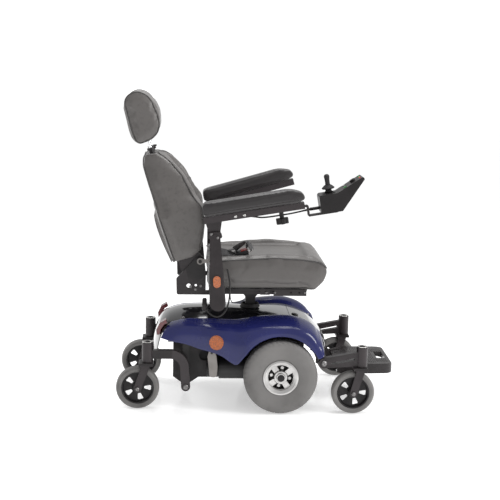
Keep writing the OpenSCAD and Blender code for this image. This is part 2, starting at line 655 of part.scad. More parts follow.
// Pressed seat pan with its runners, the arm receivers and the front slide plates.
module seat_pan() color("#2a282a") {
    y = seat_w / 2;
    block(seat_back_x + 8, 108, -y + 28, y - 28, pan_z + pan_t - 5, pan_z + pan_t);
    both_sides() {
        difference() {
            block(-30, 106, y - 33, y - 28, pan_z, pan_z + pan_t - 4.9);
            for (x = [42, 76]) pin_y(x, pan_z + 14, 4.5, y - 34, y - 27);
        }
        block(-86, -46, y - 33, y - 28, pan_z + 4, pan_z + pan_t - 4.9);
        block(seat_back_x + 8, 108, y - 66, y - 56, pan_z, pan_z + pan_t - 4.9);
        // receiver tube of the armrest post
        tube_y(60.2, arm_y - post_width / 2 - seat_fit, post_base_x, pan_z + 7, 14, 2.5);
    }
    block(post_x - 74, post_x + 74, -64, 64, pan_z, pan_z + pan_t - 4.9);
}
post_base_x = arm_pivot_x + 14;

function seat_side() = rounded([[seat_back_x, cushion_z, 16], [seat_front_x - 42, cushion_z + 2, 12],
    [seat_front_x - 8, cushion_z + 36, 30], [seat_front_x + 7, seat_top_z - 62, 30],
    [seat_front_x + 3, seat_top_z - 31, 18], [seat_front_x - 18, seat_top_z - 8, 32],
    [seat_front_x - 90, seat_top_z - 1, 90], [seat_front_x - 220, seat_top_z + 6, 300],
    [seat_back_x, seat_top_z - 14, 22]], 5);

module seat_cushion() color("#6b6766") difference() {
    slab(-seat_w / 2, seat_w / 2) polygon(seat_side());
    // dish between the side bolsters
    slab(-seat_w / 2 + bolster_w, seat_w / 2 - bolster_w)
        polygon([[seat_back_x - 1, seat_top_z - dish_depth], [seat_front_x - 90, seat_top_z - dish_depth + 2],
            [seat_front_x - 30, seat_top_z + 30], [seat_back_x - 1, seat_top_z + 30]]);
}

function bracket_profile() = rounded([[seat_back_x + 26, pan_z + pan_t, 2],
    [seat_back_x + 26, pan_z + 4, 6], [seat_back_x - 124, pan_z + 4, 8],
    [seat_back_x - 126, pan_z + 72, 10], [recline_x - 58, recline_z - 36, 14],
    [recline_x - 17, recline_z + 10, 10], [recline_x + 4, recline_z + 19, 8],
    [recline_x + 18, recline_z + 8, 8], [seat_back_x - 5, cushion_z + 60, 10],
    [seat_back_x - 5, pan_z + pan_t, 2]], 4);

module recline_brackets() color("#2b292b") both_sides() difference() {
    union() {
        slab(bracket_y - bracket_t, bracket_y) difference() {
            polygon(bracket_profile());
            translate([seat_back_x - 75, pan_z + 41]) circle(r = 9);
            translate([seat_back_x - 46, pan_z + 43]) circle(r = 5);
            translate([seat_back_x - 5.1, pan_z + pan_t - 5.1]) square([80, 60]);
        }
        pin_y(recline_x, recline_z, recline_r, hinge_y - 10, seat_w / 2 + 13);
    }
}

module recline_lever() color("#9b9896") mirror([0, 1, 0]) difference() {
    slab(seat_w / 2 + 3, seat_w / 2 + 9) {
        translate([recline_x, recline_z]) circle(r = 13);
        polygon(rounded([[recline_x, recline_z - 7, 1], [recline_x + 48, recline_z - 4, 4],
            [recline_x + 48, recline_z + 10, 5], [recline_x, recline_z + 8, 1]], 3));
    }
    pin_y(recline_x, recline_z, recline_r + run_gap, seat_w / 2, seat_w / 2 + 14);
}

// Armrest post: a rounded box cover with a round foot and ears for the arm pivot.
module arm_post_shape(drop) {
    len = arm_pivot_z - post_bottom_z;
    r = post_width / 2;
    edge = 13;
    translate([arm_pivot_x, 0, arm_pivot_z - drop]) rotate([0, -post_lean, 0]) translate([0, 0, -len]) difference() {
        intersection() {
            union() {
                for (s = [-1, 1]) for (t = [-1, 1]) translate([s * (post_depth / 2 - edge), arm_y + t * (r - edge), 0])
                    cylinder(r = edge, h = len + 20);
                block(-post_depth / 2 + edge, post_depth / 2 - edge, arm_y - r, arm_y + r, 0, len + 20);
                block(-post_depth / 2, post_depth / 2, arm_y - r + edge, arm_y + r - edge, 0, len + 20);
            }
            slab(arm_y - r - 1, arm_y + r + 1) polygon(concat(
                arc([0, post_depth / 2], post_depth / 2, 180, 360, 16),
                rounded([[post_depth / 2, len - 10, 8], [post_depth / 2 - 12, len + 16, 10],
                    [-post_depth / 2 + 12, len + 16, 10], [-post_depth / 2, len - 10, 8]], 4)));
        }
        // slot between the ears
        translate([0, arm_y, len]) rotate([90, 0, 0]) cylinder(r = post_depth / 2 + 8, h = arm_hub + 1.6, center = true);
    }
    pin_y(arm_pivot_x, arm_pivot_z - drop, arm_pivot_r, arm_y - r + 1, arm_y + r + 3);
}

module arm_posts() color("#353133") {
    arm_post_shape(arm_drop_left);
    mirror([0, 1, 0]) arm_post_shape(0);
}

module post_reflectors() color("#d9701e") {
    post_reflector(arm_drop_left);
    mirror([0, 1, 0]) post_reflector(0);
}
module post_reflector(drop) {
    len = arm_pivot_z - post_bottom_z;
    translate([arm_pivot_x, arm_y + post_width / 2 + seat_fit, arm_pivot_z - drop]) rotate([0, -post_lean, 0])
        translate([0, 0, 122 - len]) rotate([-90, 0, 0]) linear_extrude(4)
            polygon(concat(arc([0, 9], 15, 0, 180, 12), arc([0, -9], 15, 180, 360, 12)));
}

// Lap belt: strap, buckle and tongue lie fastened on the seat.
dish_z = seat_top_z - dish_depth;
buckle_x = -160;
buckle_y = -128;
buckle_lift = 14;
module at_buckle() translate([buckle_x - 30, buckle_y, dish_z + 2]) rotate([0, -buckle_lift, 0]) children();
module belt_straps() color("#1c1a1c") {
    // short strap that comes out between the cushion and the back
    slab(buckle_y - 24, buckle_y + 24) polygon([[seat_back_x + 8, dish_z + 1.5],
        [buckle_x - 31, dish_z + 2.5], [buckle_x - 31, dish_z + 6], [seat_back_x + 8, dish_z + 5]]);
    // tongue plate and the adjuster that stands up from it
    at_buckle() slab(-24, 24) polygon([[60, 9], [76, 9], [80, 11], [72, 50], [66, 50], [73, 14], [60, 14]]);
    // long strap, from the adjuster back across the seat to the left side
    at_buckle() slab(-23, 24.5) polygon([[66, 48], [72, 48], [72, 53], [30, 43], [0, 34], [0, 30.5], [30, 39.5]]);
    hull() {
        translate([buckle_x - 34, buckle_y + 14, dish_z + 27]) cube([4, 9, 3]);
        translate([seat_back_x + 10, 120, dish_z + 2]) cube([44, 3, 3]);
    }
}

module belt_buckle() color("#1a181a") at_buckle() difference() {
    slab(-30, 30) polygon(rounded([[0, 0, 4], [60, 0, 4], [60, 24, 6], [0, 21, 7]]));
    block(30, 61, -21, 21, 9, 30);
}

module belt_button() color("#a3261f") at_buckle() block(30.4, 57, -20.6, 20.6, 14.5, 25);

// Cable loop under the right armrest post, with its plug, and the branch to the seat post.
function loop_route() = [for (p = [[-226, 0, 124], [-219, 0, 98], [-214, 0, 60], [-214, 0, 22],
    [-218, 0, -14], [-228, 0, -46], [-244, 0, -66], [-264, 0, -74], [-284, 0, -68], [-300, 0, -54],
    [-309, 0, -38]]) [p[0], -arm_y, pan_z + p[2]]];
module cable_loop() color("#5b5856") {
    sweep(curve(loop_route(), 3), cable_r);
    block(-320, -311.5, -arm_y - 11, -arm_y + 11, pan_z - 50, pan_z + 8);
    sweep(curve([[-212, -arm_y + 9, pan_z + 20], [-210, -arm_y + 13, pan_z], [-204, -arm_y + 30, pan_z - 18],
        [-192, -200, pan_z - 30], [-176, -150, pan_z - 38], [-158, -90, pan_z - 46], [-146, -36, pan_z - 54],
        [post_x - post_size / 2 - 2.4, -6, pan_z - 56]], 3), 2);
}

// ---------- back ----------

// Points given along the back's own slope, measured from the recline pivot.
module in_back() translate([recline_x, 0, recline_z]) rotate([0, -back_tilt, 0]) children();

back_low = 15;
back_top = back_low + back_len;
function back_side() = let (b = back_low, t = back_top, k = back_len / 460)
    rounded([[-106, b + 3, 16], [-26, b - 1, 12], [13, b + 16, 16], [34, b + 52, 30],
        [60, b + 112 * k, 60], [80, b + 190 * k, 70], [59, b + 252 * k, 80], [40, b + 336 * k, 60],
        [8, b + 402 * k, 50], [-16, b + 430 * k, 30], [-42, t - 10, 20], [-98, t, 18],
        [-112, t - 42, 40], [-112, b + 260 * k, 100]], 5);

// The back seen from the front: it narrows above the bolsters to a rounded top.
function back_front(inset) = let (b = back_low, t = back_top, k = back_len / 460, w = back_w / 2 - inset,
    half = [[w, b - 30, 0], [w, b + 206 * k, 60], [w - 25, b + 262 * k, 60], [w - 40, b + 345 * k, 80],
        [w - 70, b + 422 * k, 50], [w - 106, t + 4, 30]])
    rounded(concat(half, [for (i = [len(half) - 1:-1:0]) [-half[i][0], half[i][1], half[i][2]]]), 5);
module from_front() rotate([90, 0, 90]) translate([0, 0, -200]) linear_extrude(400) children();

module back_cushion() color("#6b6766") in_back() {
    difference() {
        intersection() {
            slab(-back_w / 2, back_w / 2) polygon(back_side());
            from_front() polygon(back_front(0));
        }
        // hollow between the side bolsters
        intersection() {
            slab(-back_w / 2, back_w / 2) polygon([[8, -60], [12, back_low + 30], [38, back_low + 140],
                [50, back_low + 215], [24, back_low + 320], [-34, back_top + 14], [200, back_top + 14],
                [200, -60]]);
            from_front() union() {
                polygon(back_front(62));
                polygon([[62 - back_w / 2, -70], [back_w / 2 - 62, -70], [back_w / 2 - 62, back_low],
                    [62 - back_w / 2, back_low]]);
                polygon([[-40, back_top - 40], [40, back_top - 40], [40, back_top + 20],
                    [-40, back_top + 20]]);
            }
        }
        back_frame_space(0.4);
    }
    // moulded cover across the back
    slab(-150, 150) polygon(rounded([[-104, 0, 0], [-118, 6, 12], [-130, 100, 100], [-133, 222, 16],
        [-104, 246, 0]], 4));
}

// Hinge plates, side tubes and headrest guides of the back.
guide_y = 55;
guide_x = -61;
guide_len = 250;
bar_top = back_top - guide_len + 13;
module back_frame_space(gap) {
    both_sides() {
        slab(hinge_y - bracket_t - gap, hinge_y + gap)
            polygon([[-15, -10], [-92, -24], [-92, 118 + gap], [-40, 118 + gap], [24, 20]]);
        block(-86 - gap, -52 + gap, hinge_y - 26 - gap, hinge_y - bracket_t + 0.1, 72 - gap, bar_top + gap);
        translate([guide_x, guide_y, back_top - guide_len - gap]) cylinder(r = 11 + gap, h = guide_len + 10);
    }
    block(-86 - gap, -52 + gap, -hinge_y + bracket_t, hinge_y - bracket_t, bar_top - 28 - gap,
        bar_top + gap);
}

module back_frame() color("#29272a") in_back() difference() {
    union() {
        both_sides() {
            slab(hinge_y - bracket_t, hinge_y) difference() {
                union() {
                    circle(r = 19);
                    polygon([[-15, -10], [-86, -22], [-86, 118], [-44, 118], [17, 6]]);
                }
                circle(r = recline_r + run_gap);
            }
            block(-84, -56, hinge_y - 26, hinge_y - bracket_t + 0.05, 72, bar_top);
            translate([guide_x, guide_y, back_top - guide_len]) cylinder(r = 11, h = guide_len + 3);
            translate([guide_x, guide_y, back_top + 1]) cylinder(r = 16, h = 9);
            // release button of the guide
            translate([guide_x + 10, guide_y - 5, back_top + 2]) cube([12, 10, 7]);
        }
        block(-84, -56, -hinge_y + 26, hinge_y - 26, bar_top - 28, bar_top);
    }
    both_sides() translate([guide_x, guide_y, back_top - guide_len - 1])
        cylinder(r = head_rod_r + run_gap, h = guide_len + 20);
}

head_z = back_top + 42;
head_rod_r = 6.5;
function head_side() = let (z = head_z, k = headrest_len / 206)
    rounded([[-94, z, 14], [-45, z + 6, 14], [-12, z + 24 * k, 30], [7, z + 56 * k, 40],
        [12, z + 100 * k, 60], [4, z + 152 * k, 60], [-14, z + 188 * k, 40], [-44, z + headrest_len, 30],
        [-84, z + 202 * k, 26], [-104, z + 176 * k, 40], [-113, z + 60 * k, 60], [-110, z + 10, 12]], 5);

module headrest_cushion() color("#6b6766") in_back() difference() {
    slab(-headrest_w / 2, headrest_w / 2) polygon(head_side());
    both_sides() translate([guide_x, guide_y, head_z - 30])
        cylinder(r = head_rod_r + seat_fit, h = 100 + seat_fit);
}

module headrest_posts() color("#c9c7c4") in_back() both_sides()
    translate([guide_x, guide_y, back_top - 120]) cylinder(r = head_rod_r, h = head_z - back_top + 190);

// ---------- armrests ----------

module in_arm(side) translate([arm_pivot_x, side * arm_y, arm_pivot_z - (side > 0 ? arm_drop_left : 0)])
    rotate([0, side > 0 ? -arm_tilt_left : -arm_tilt_right, 0]) children();

module arm_frame(side) color("#2d2a2c") in_arm(side) {
    x0 = channel_x0 + (side > 0 ? pad_shift_left : 0);
    difference() {
        union() {
            difference() {
                block(x0, x0 + channel_len, -channel_w / 2, channel_w / 2, channel_z, channel_z + channel_h);
                block(x0 + 76, x0 + channel_len + 1, -channel_w / 2 + channel_wall,
                    channel_w / 2 - channel_wall, channel_z - 1, channel_z + channel_h - channel_wall);
            }
            slab(-arm_hub / 2, arm_hub / 2) {
                circle(r = 20);
                polygon([[-20, 0], [channel_x0 + 6, channel_z + 1], [channel_x0 + 72, channel_z + 1], [20, 0]]);
            }
            // clamp plate under the controller bar
            if (side < 0) block(knob_x - 16, knob_x + 16, -channel_w / 2 + 1, channel_w / 2 - 1, channel_z,
                bar_z - seat_fit);
        }
        pin_y(0, 0, arm_pivot_r + run_gap, -arm_hub, arm_hub);
        if (side < 0) translate([knob_x, 0, channel_z - 1]) cylinder(r = 5 + run_gap, h = 9);
    }
}

module arm_pad(side) color("#2f2c2e") in_arm(side) {
    z = channel_z + channel_h + seat_fit;
    x0 = channel_x0 - 2 + (side > 0 ? pad_shift_left : 0);
    x1 = x0 + pad_len;
    slab(-pad_w / 2, pad_w / 2) polygon(rounded([[x0, z + 12, 10], [x0 + 16, z, 8], [x1 - 40, z, 4],
        [x1, z + 12, 12], [x1 - 2, z + pad_h - 18, 26], [x1 - 56, z + pad_h + 2, 50],
        [x0 + 4, z + pad_h, 18]], 6));
}

// ---------- controller ----------

function ctl_side(t) = let (end = panel_x + panel_len * cos(panel_slope), tip = ctl_deck_z + panel_len * sin(panel_slope))
    rounded([[ctl_x + t, ctl_floor_z + t, max(5 - t, 1)], [ctl_x + t, ctl_deck_z - t, 10 - t],
        [panel_x + t * 0.2, ctl_deck_z - t, 3], [end - t, tip - t * 1.6, 5 - t],
        [end + 6 - t * 1.4, tip - 10, 5 - t], [ctl_x + 86 - t * 0.8, ctl_floor_z + t, 6 - t]], 4);

module on_panel(along, y) translate([panel_x, y, ctl_deck_z]) rotate([0, -panel_slope, 0])
    translate([along, 0, 0]) children();

button_r = 7;
dial_r = 11;
// Sideways place of the cable's strain relief, clear of the bar
gland_y = 18;
module controller_housing() color("#2e2b2d") in_arm(RIGHT) difference() {
    union() {
        difference() {
            slab(-ctl_w / 2, ctl_w / 2) polygon(ctl_side(0));
            slab(-ctl_w / 2 + ctl_wall, ctl_w / 2 - ctl_wall) polygon(ctl_side(ctl_wall));
        }
        // ring that holds the joystick boot and the gimbal
        translate([stick_x, 0, ctl_deck_z - 18]) cylinder(r = 28, h = 20);
        // strain relief of the cable
        translate([ctl_x - 38, gland_y, ctl_floor_z + 18]) rotate([0, 90, 0]) cylinder(r = 6.5, h = 39);
    }
    translate([stick_x, 0, ctl_deck_z - 30]) cylinder(r = 22, h = 60);
    pin_y(stick_x, stick_z, 2 + run_gap, -29, 29);
    for (y = [-24, 24]) on_panel(38, y) translate([0, 0, -20]) cylinder(r = button_r + 0.3, h = 40);
    on_panel(78, 0) translate([0, 0, -20]) cylinder(r = 4 + run_gap, h = 40);
    translate([ctl_x - 39, gland_y, ctl_floor_z + 18]) rotate([0, 90, 0]) cylinder(r = cable_r + 0.05, h = 22);
}

// Cranked bar: slotted inside the armrest channel, then down and forward under the housing.
bar_x0 = 214;
module controller_bar() color("#242225") in_arm(RIGHT) difference() {
    x1 = channel_x0 + channel_len + 14;
    low = ctl_floor_z - bar_t - seat_fit;
    slab(-bar_w / 2, bar_w / 2) polygon([[bar_x0, bar_z], [x1 - 6, bar_z], [x1 - 6, low + 5],
        [x1 - 1, low], [ctl_x + 70, low], [ctl_x + 70, low + bar_t], [x1 + 2, low + bar_t],
        [x1 + 2, bar_z + bar_t - 4], [x1 - 2, bar_z + bar_t], [bar_x0, bar_z + bar_t]]);
    block(knob_x - 46, knob_x + 14, -5.6, 5.6, bar_z - 1, bar_z + bar_t + 1);
}

function lead_route() = [for (p = [[-20, 18, 18], [-34, 18, 18], [-48, 18, 17], [-84, 19, 14], [-120, 19, 12],
    [-160, 18, 12], [-200, 17, 12], [-236, 14, 15], [-262, 13, 22], [-290, 12, 30]])
    [ctl_x + p[0], p[1], ctl_floor_z + p[2]]];
module controller_cable() color("#1d1b1d") in_arm(RIGHT) sweep(curve(lead_route(), 3), cable_r);

module clamp_knob() color("#252326") in_arm(RIGHT) translate([knob_x, 0, 0]) {
    translate([0, 0, 26]) cylinder(r = 9, h = channel_z - 26 - seat_fit);
    difference() {
        translate([0, 0, 6]) cylinder(r = knob_r, h = 22);
        for (k = [0:5]) rotate([0, 0, 60 * k]) translate([knob_r + 7, 0, 5]) cylinder(r = 12, h = 30);
    }
    translate([0, 0, 20]) cylinder(r = 5, h = channel_z + channel_h - channel_wall - 21);
}

stick_z = ctl_deck_z - 10;
module gimbal_ring() color("#77767a") in_arm(RIGHT) translate([stick_x, 0, stick_z]) {
    difference() {
        rotate_extrude() polygon([[12, -3], [16, -3], [16, 3], [12, 3]]);
        for (s = [-1, 1]) translate([s * 14, 0, 0]) rotate([0, 90, 0]) cylinder(r = 2 + run_gap, h = 6, center = true);
    }
    for (s = [-1, 1]) translate([0, s * 20.5, 0]) rotate([90, 0, 0]) cylinder(r = 2, h = 11, center = true);
}

module joystick() color("#2f2d2f") in_arm(RIGHT) translate([stick_x, 0, stick_z]) {
    sphere(r = 7);
    rotate([0, 90, 0]) cylinder(r = 2, h = 31.6, center = true);
    cylinder(r = 4, h = 30);
    // rubber boot
    rotate_extrude() polygon([[3.9, 14], [14, 14], [15, 16], [13, 19], [12, 22], [14, 25], [24, 27],
        [26, 30], [24, 33], [14, 42], [3.9, 44]]);
    rotate_extrude() polygon([[0, 40], [10, 40], [9.4, 52], [10, 66], [11.4, 76], [9.6, 82], [5, 85.5], [0, 86]]);
}

module power_button() color("#3a7d44") in_arm(RIGHT) on_panel(38, -24) translate([0, 0, -7])
    cylinder(r = button_r, h = 9);
module horn_button() color("#b9b6b2") in_arm(RIGHT) on_panel(38, 24) translate([0, 0, -7])
    cylinder(r = button_r, h = 9);
module speed_dial() color("#4a484a") in_arm(RIGHT) on_panel(78, 0) {
    translate([0, 0, 0.3]) difference() {
        cylinder(r = dial_r, h = 8);
        translate([0, -0.8, 6.5]) cube([dial_r + 1, 1.6, 3]);
    }
    translate([0, 0, -6]) cylinder(r = 4, h = 7);
}

placed() {
    frame();
    rear_arms();
    batteries();
    drive_motors();
    control_module();
    top_cover();
    side_panel(RIGHT);  // side_panel_right
    side_panel(LEFT);  // side_panel_left
    side_reflectors();
    tail_lights();
    footplate_bracket();
    drive_tyre(RIGHT);  // drive_tyre_right
    drive_tyre(LEFT);  // drive_tyre_left
    drive_rim(RIGHT);  // drive_rim_right
    drive_rim(LEFT);  // drive_rim_left
    front_arm(RIGHT);  // front_arm_right
    front_arm(LEFT);  // front_arm_left
    fork(front_reach, front_track / 2, RIGHT, front_trail);  // front_fork_right
    fork(front_reach, front_track / 2, LEFT, front_trail);  // front_fork_left
    fork(-rear_reach, rear_track / 2, RIGHT, rear_trail);  // rear_fork_right
    fork(-rear_reach, rear_track / 2, LEFT, rear_trail);  // rear_fork_left
    caster_rim(front_reach - front_trail, front_track, RIGHT);  // front_caster_rim_right
    caster_rim(front_reach - front_trail, front_track, LEFT);  // front_caster_rim_left
    caster_rim(-rear_reach - rear_trail, rear_track, RIGHT);  // rear_caster_rim_right
    caster_rim(-rear_reach - rear_trail, rear_track, LEFT);  // rear_caster_rim_left
    caster_tyre(front_reach - front_trail, front_track, RIGHT);  // front_caster_tyre_right
    caster_tyre(front_reach - front_trail, front_track, LEFT);  // front_caster_tyre_left
    caster_tyre(-rear_reach - rear_trail, rear_track, RIGHT);  // rear_caster_tyre_right
    caster_tyre(-rear_reach - rear_trail, rear_track, LEFT);  // rear_caster_tyre_left
    footplate();
    brake_lever(RIGHT);  // brake_lever_right
    brake_lever(LEFT);  // brake_lever_left
    seat_post();
    seat_pan();
    seat_cushion();
    recline_brackets();
    arm_posts();
    post_reflectors();
    belt_straps();
    belt_buckle();
    belt_button();
    cable_loop();
    recline_lever();
    back_cushion();
    back_frame();
    headrest_cushion();
    headrest_posts();
    arm_frame(RIGHT);  // arm_frame_right
    arm_frame(LEFT);  // arm_frame_left
    arm_pad(RIGHT);  // arm_pad_right
    arm_pad(LEFT);  // arm_pad_left
    controller_housing();
    controller_bar();
    controller_cable();
    clamp_knob();
    gimbal_ring();
    joystick();
    power_button();
    horn_button();
    speed_dial();
}
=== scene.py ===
"""Mid-wheel power wheelchair: soft pieces, smooth covers, cables, details and materials."""
import json
import math
import bmesh
import bpy
from mathutils import Matrix, Vector
from mathutils.bvhtree import BVHTree


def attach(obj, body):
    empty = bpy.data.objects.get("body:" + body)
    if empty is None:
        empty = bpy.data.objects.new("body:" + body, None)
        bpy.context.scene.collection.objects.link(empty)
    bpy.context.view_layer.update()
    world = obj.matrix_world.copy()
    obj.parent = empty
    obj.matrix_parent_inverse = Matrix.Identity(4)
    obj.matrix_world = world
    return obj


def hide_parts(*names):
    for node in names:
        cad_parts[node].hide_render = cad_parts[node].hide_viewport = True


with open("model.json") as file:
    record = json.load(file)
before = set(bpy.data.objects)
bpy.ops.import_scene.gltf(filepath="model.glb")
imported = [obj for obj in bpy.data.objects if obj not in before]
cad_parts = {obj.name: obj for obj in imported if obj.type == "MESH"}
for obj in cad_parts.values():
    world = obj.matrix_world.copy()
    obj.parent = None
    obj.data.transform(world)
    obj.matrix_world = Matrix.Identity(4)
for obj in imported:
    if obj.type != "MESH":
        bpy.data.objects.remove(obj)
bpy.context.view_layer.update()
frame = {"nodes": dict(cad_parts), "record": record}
NODES = frame["nodes"]
MM = 0.001

# ---------- places, in millimetres from the drive axle, as the CAD source has them ----------
AXLE_X = 91.5
DRIVE_R, DRIVE_Y, DRIVE_W, RIM_R = 152.5, 268, 92, 72.5
CASTER_R, CASTER_W, CASTER_RIM_R = 89, 46, 67
FRONT_X, FRONT_Y, REAR_X, REAR_Y = 300, 277, -586, 216
SEAT_W, HEAD_W = 456, 256
SEAM_Y, PANEL_Y, ARCH_R = 130, 290, 171.5
COVER_BACK, COVER_FRONT, DECK_Z = -530, 211.5, 384
POST_X, PAN_Z = -115, 474
FORK_TRAIL = {"front": 34, "rear": 40}
STEM_TOP = 281.2
TREAD_LOW, TREAD_HIGH = 170.6, 172.4
RECLINE = (-335, 622)
BACK_TILT = math.radians(18)
ARM_Y = 268
ARM_PIVOT = {-1: (-277, 735), 1: (-277, 723)}
ARM_TILT = {-1: math.radians(9.5), 1: math.radians(16)}
BUCKLE = (-190, -128, 620)
BUCKLE_TILT = math.radians(14)
PANEL_TILT = math.radians(33.5)
SIDES = {-1: "right", 1: "left"}


def at(x, y, z):
    """A point given in millimetres from the drive axle."""
    return Vector(((x + AXLE_X) * MM, y * MM, z * MM))


def turned(origin, angle, x, y, z):
    """A point of a frame tilted back by angle about an axis across the chair."""
    c, s = math.cos(angle), math.sin(angle)
    return at(origin[0] + x * c - z * s, y, origin[1] + x * s + z * c)


def in_back(x, y, z):
    return turned(RECLINE, BACK_TILT, x, y, z)


def in_arm(side, x, y, z):
    return turned(ARM_PIVOT[side], ARM_TILT[side], x, side * ARM_Y + y, z)


# ---------- camera, light and floor ----------

CAMERA_PLACE = (-405.7, -4737, 1466.3)
CAMERA_TURN = (0.0604, 0.1745, 0.0207)
LENS_MM, SENSOR_MM = 81.31, 36


def make_camera():
    place = at(*CAMERA_PLACE)
    yaw, pitch, roll = CAMERA_TURN
    ahead = Vector((math.sin(yaw) * math.cos(pitch), math.cos(yaw) * math.cos(pitch), -math.sin(pitch)))
    level = Vector((math.cos(yaw), -math.sin(yaw), 0))
    upright = level.cross(ahead)
    right = math.cos(roll) * level + math.sin(roll) * upright
    up = -math.sin(roll) * level + math.cos(roll) * upright
    camera = bpy.data.objects.new("camera", bpy.data.cameras.new("camera"))
    camera.data.sensor_width = SENSOR_MM
    camera.data.lens = LENS_MM
    camera.matrix_world = Matrix.Translation(place) @ Matrix((right, up, -ahead)).transposed().to_4x4()
    bpy.context.scene.collection.objects.link(camera)
    bpy.context.scene.camera = camera


def area_light(name, place, target, size, power):
    light = bpy.data.lights.new(name, "AREA")
    light.shape = "RECTANGLE"
    light.size, light.size_y = size
    light.energy = power
    lamp = bpy.data.objects.new(name, light)
    lamp.location = place
    lamp.rotation_euler = (Vector(target) - Vector(place)).to_track_quat("-Z", "Y").to_euler()
    bpy.context.scene.collection.objects.link(lamp)


FLOOR_SIZE, FLOOR_WHITE, FLOOR_GLOW = 60, 0.93, 0.42
SKY_LIGHT, SKY_SEEN = 0.62, 1.6
LIGHTS = (("overhead", (0.3, 0.3, 3.2), (0, 0.1, 0.5), (2.6, 1.6), 62),
          ("front_key", (3.0, -1.4, 2.0), (0, 0, 0.6), (1.0, 1.8), 62),
          ("rear_rim", (-2.8, 1.2, 1.9), (0, 0, 0.6), (1.0, 1.8), 34))


def make_stage():
    """A white floor just under the tyres, a white sky and three soft lights."""
    bpy.ops.mesh.primitive_plane_add(size=FLOOR_SIZE, location=(0, 0, -0.5 * MM))
    floor = bpy.context.object
    floor.name = "floor"
    stuff = bpy.data.materials.new("floor_white")
    stuff.use_nodes = True
    shader = stuff.node_tree.nodes["Principled BSDF"]
    shader.inputs["Base Color"].default_value = (FLOOR_WHITE, FLOOR_WHITE, FLOOR_WHITE, 1)
    shader.inputs["Roughness"].default_value = 0.16
    shader.inputs["Specular IOR Level"].default_value = 0.5
    shader.inputs["Emission Color"].default_value = (1, 1, 1, 1)
    shader.inputs["Emission Strength"].default_value = FLOOR_GLOW
    floor.data.materials.append(stuff)
    world = bpy.data.worlds.new("studio")
    bpy.context.scene.world = world
    world.use_nodes = True
    sky = world.node_tree.nodes["Background"]
    sky.inputs["Color"].default_value = (1, 1, 1, 1)
    path = world.node_tree.nodes.new("ShaderNodeLightPath")
    spread = world.node_tree.nodes.new("ShaderNodeMapRange")
    spread.inputs["To Min"].default_value = SKY_LIGHT
    spread.inputs["To Max"].default_value = SKY_SEEN
    world.node_tree.links.new(path.outputs["Is Camera Ray"], spread.inputs["Value"])
    world.node_tree.links.new(spread.outputs["Result"], sky.inputs["Strength"])
    for light in LIGHTS:
        area_light(*light)
    bpy.context.scene.view_settings.view_transform = "Standard"


# ---------- materials ----------

class Stuff:
    """A procedural material built up one effect at a time."""

    def __init__(self, name, colour, rough, metal=0.0, **sockets):
        self.material = bpy.data.materials.new(name)
        self.material.use_nodes = True
        self.nodes = self.material.node_tree.nodes
        self.links = self.material.node_tree.links
        self.shader = self.nodes["Principled BSDF"]
        self.colour = colour
        self.shader.inputs["Metallic"].default_value = metal
        self.shader.inputs["Roughness"].default_value = rough
        self.shader.inputs["Base Color"].default_value = (*colour, 1)
        for socket, value in sockets.items():
            self.shader.inputs[socket.replace("_", " ")].default_value = value
        self.where = self.nodes.new("ShaderNodeTexCoord").outputs["Object"]
        self.height = None
        self.tone = None

    def node(self, kind, **settings):
        made = self.nodes.new("ShaderNode" + kind)
        for key, value in settings.items():
            setattr(made, key, value)
        return made

    def noise(self, scale, detail=4.0, stretch=(1, 1, 1), rough=0.55):
        spread = self.node("Mapping")
        spread.inputs["Scale"].default_value = stretch
        self.links.new(self.where, spread.inputs["Vector"])
        noise = self.node("TexNoise")
        noise.inputs["Scale"].default_value = scale
        noise.inputs["Detail"].default_value = detail
        noise.inputs["Roughness"].default_value = rough
        self.links.new(spread.outputs["Vector"], noise.inputs["Vector"])
        return noise.outputs["Fac"]

    def cells(self, scale, feature="F1"):
        cells = self.node("TexVoronoi", feature=feature)
        cells.inputs["Scale"].default_value = scale
        self.links.new(self.where, cells.inputs["Vector"])
        return cells.outputs["Distance"]

    def waves(self, scale, direction="X", profile="SIN", distort=0.0):
        waves = self.node("TexWave", bands_direction=direction, wave_profile=profile)
        waves.inputs["Scale"].default_value = scale
        waves.inputs["Distortion"].default_value = distort
        self.links.new(self.where, waves.inputs["Vector"])
        return waves.outputs["Fac"]

    def span(self, value, low, high, first, last):
        spread = self.node("MapRange")
        for socket, number in zip(("From Min", "From Max", "To Min", "To Max"), (low, high, first, last)):
            spread.inputs[socket].default_value = number
        self.links.new(value, spread.inputs["Value"])
        return spread.outputs["Result"]

    def tint(self, value, colour, low=0.35, high=0.65, most=1.0):
        """Blends towards colour where value is high."""
        blend = self.node("Mix", data_type="RGBA")
        share = self.span(value, low, high, 0, most)
        self.links.new(share, blend.inputs["Factor"])
        if self.tone is None:
            blend.inputs["A"].default_value = (*self.colour, 1)
        else:
            self.links.new(self.tone, blend.inputs["A"])
        blend.inputs["B"].default_value = (*colour, 1)
        self.tone = blend.outputs["Result"]
        self.links.new(self.tone, self.shader.inputs["Base Color"])
        return self

    def roughness(self, value, first, last):
        self.links.new(self.span(value, 0.3, 0.7, first, last), self.shader.inputs["Roughness"])
        return self

    def bump(self, value, strength, distance):
        bump = self.node("Bump")
        bump.inputs["Strength"].default_value = strength
        bump.inputs["Distance"].default_value = distance
        self.links.new(value, bump.inputs["Height"])
        if self.height is not None:
            self.links.new(self.height, bump.inputs["Normal"])
        self.height = bump.outputs["Normal"]
        self.links.new(self.height, self.shader.inputs["Normal"])
        return self


def shade(colour, factor):
    return tuple(min(c * factor, 1) for c in colour)


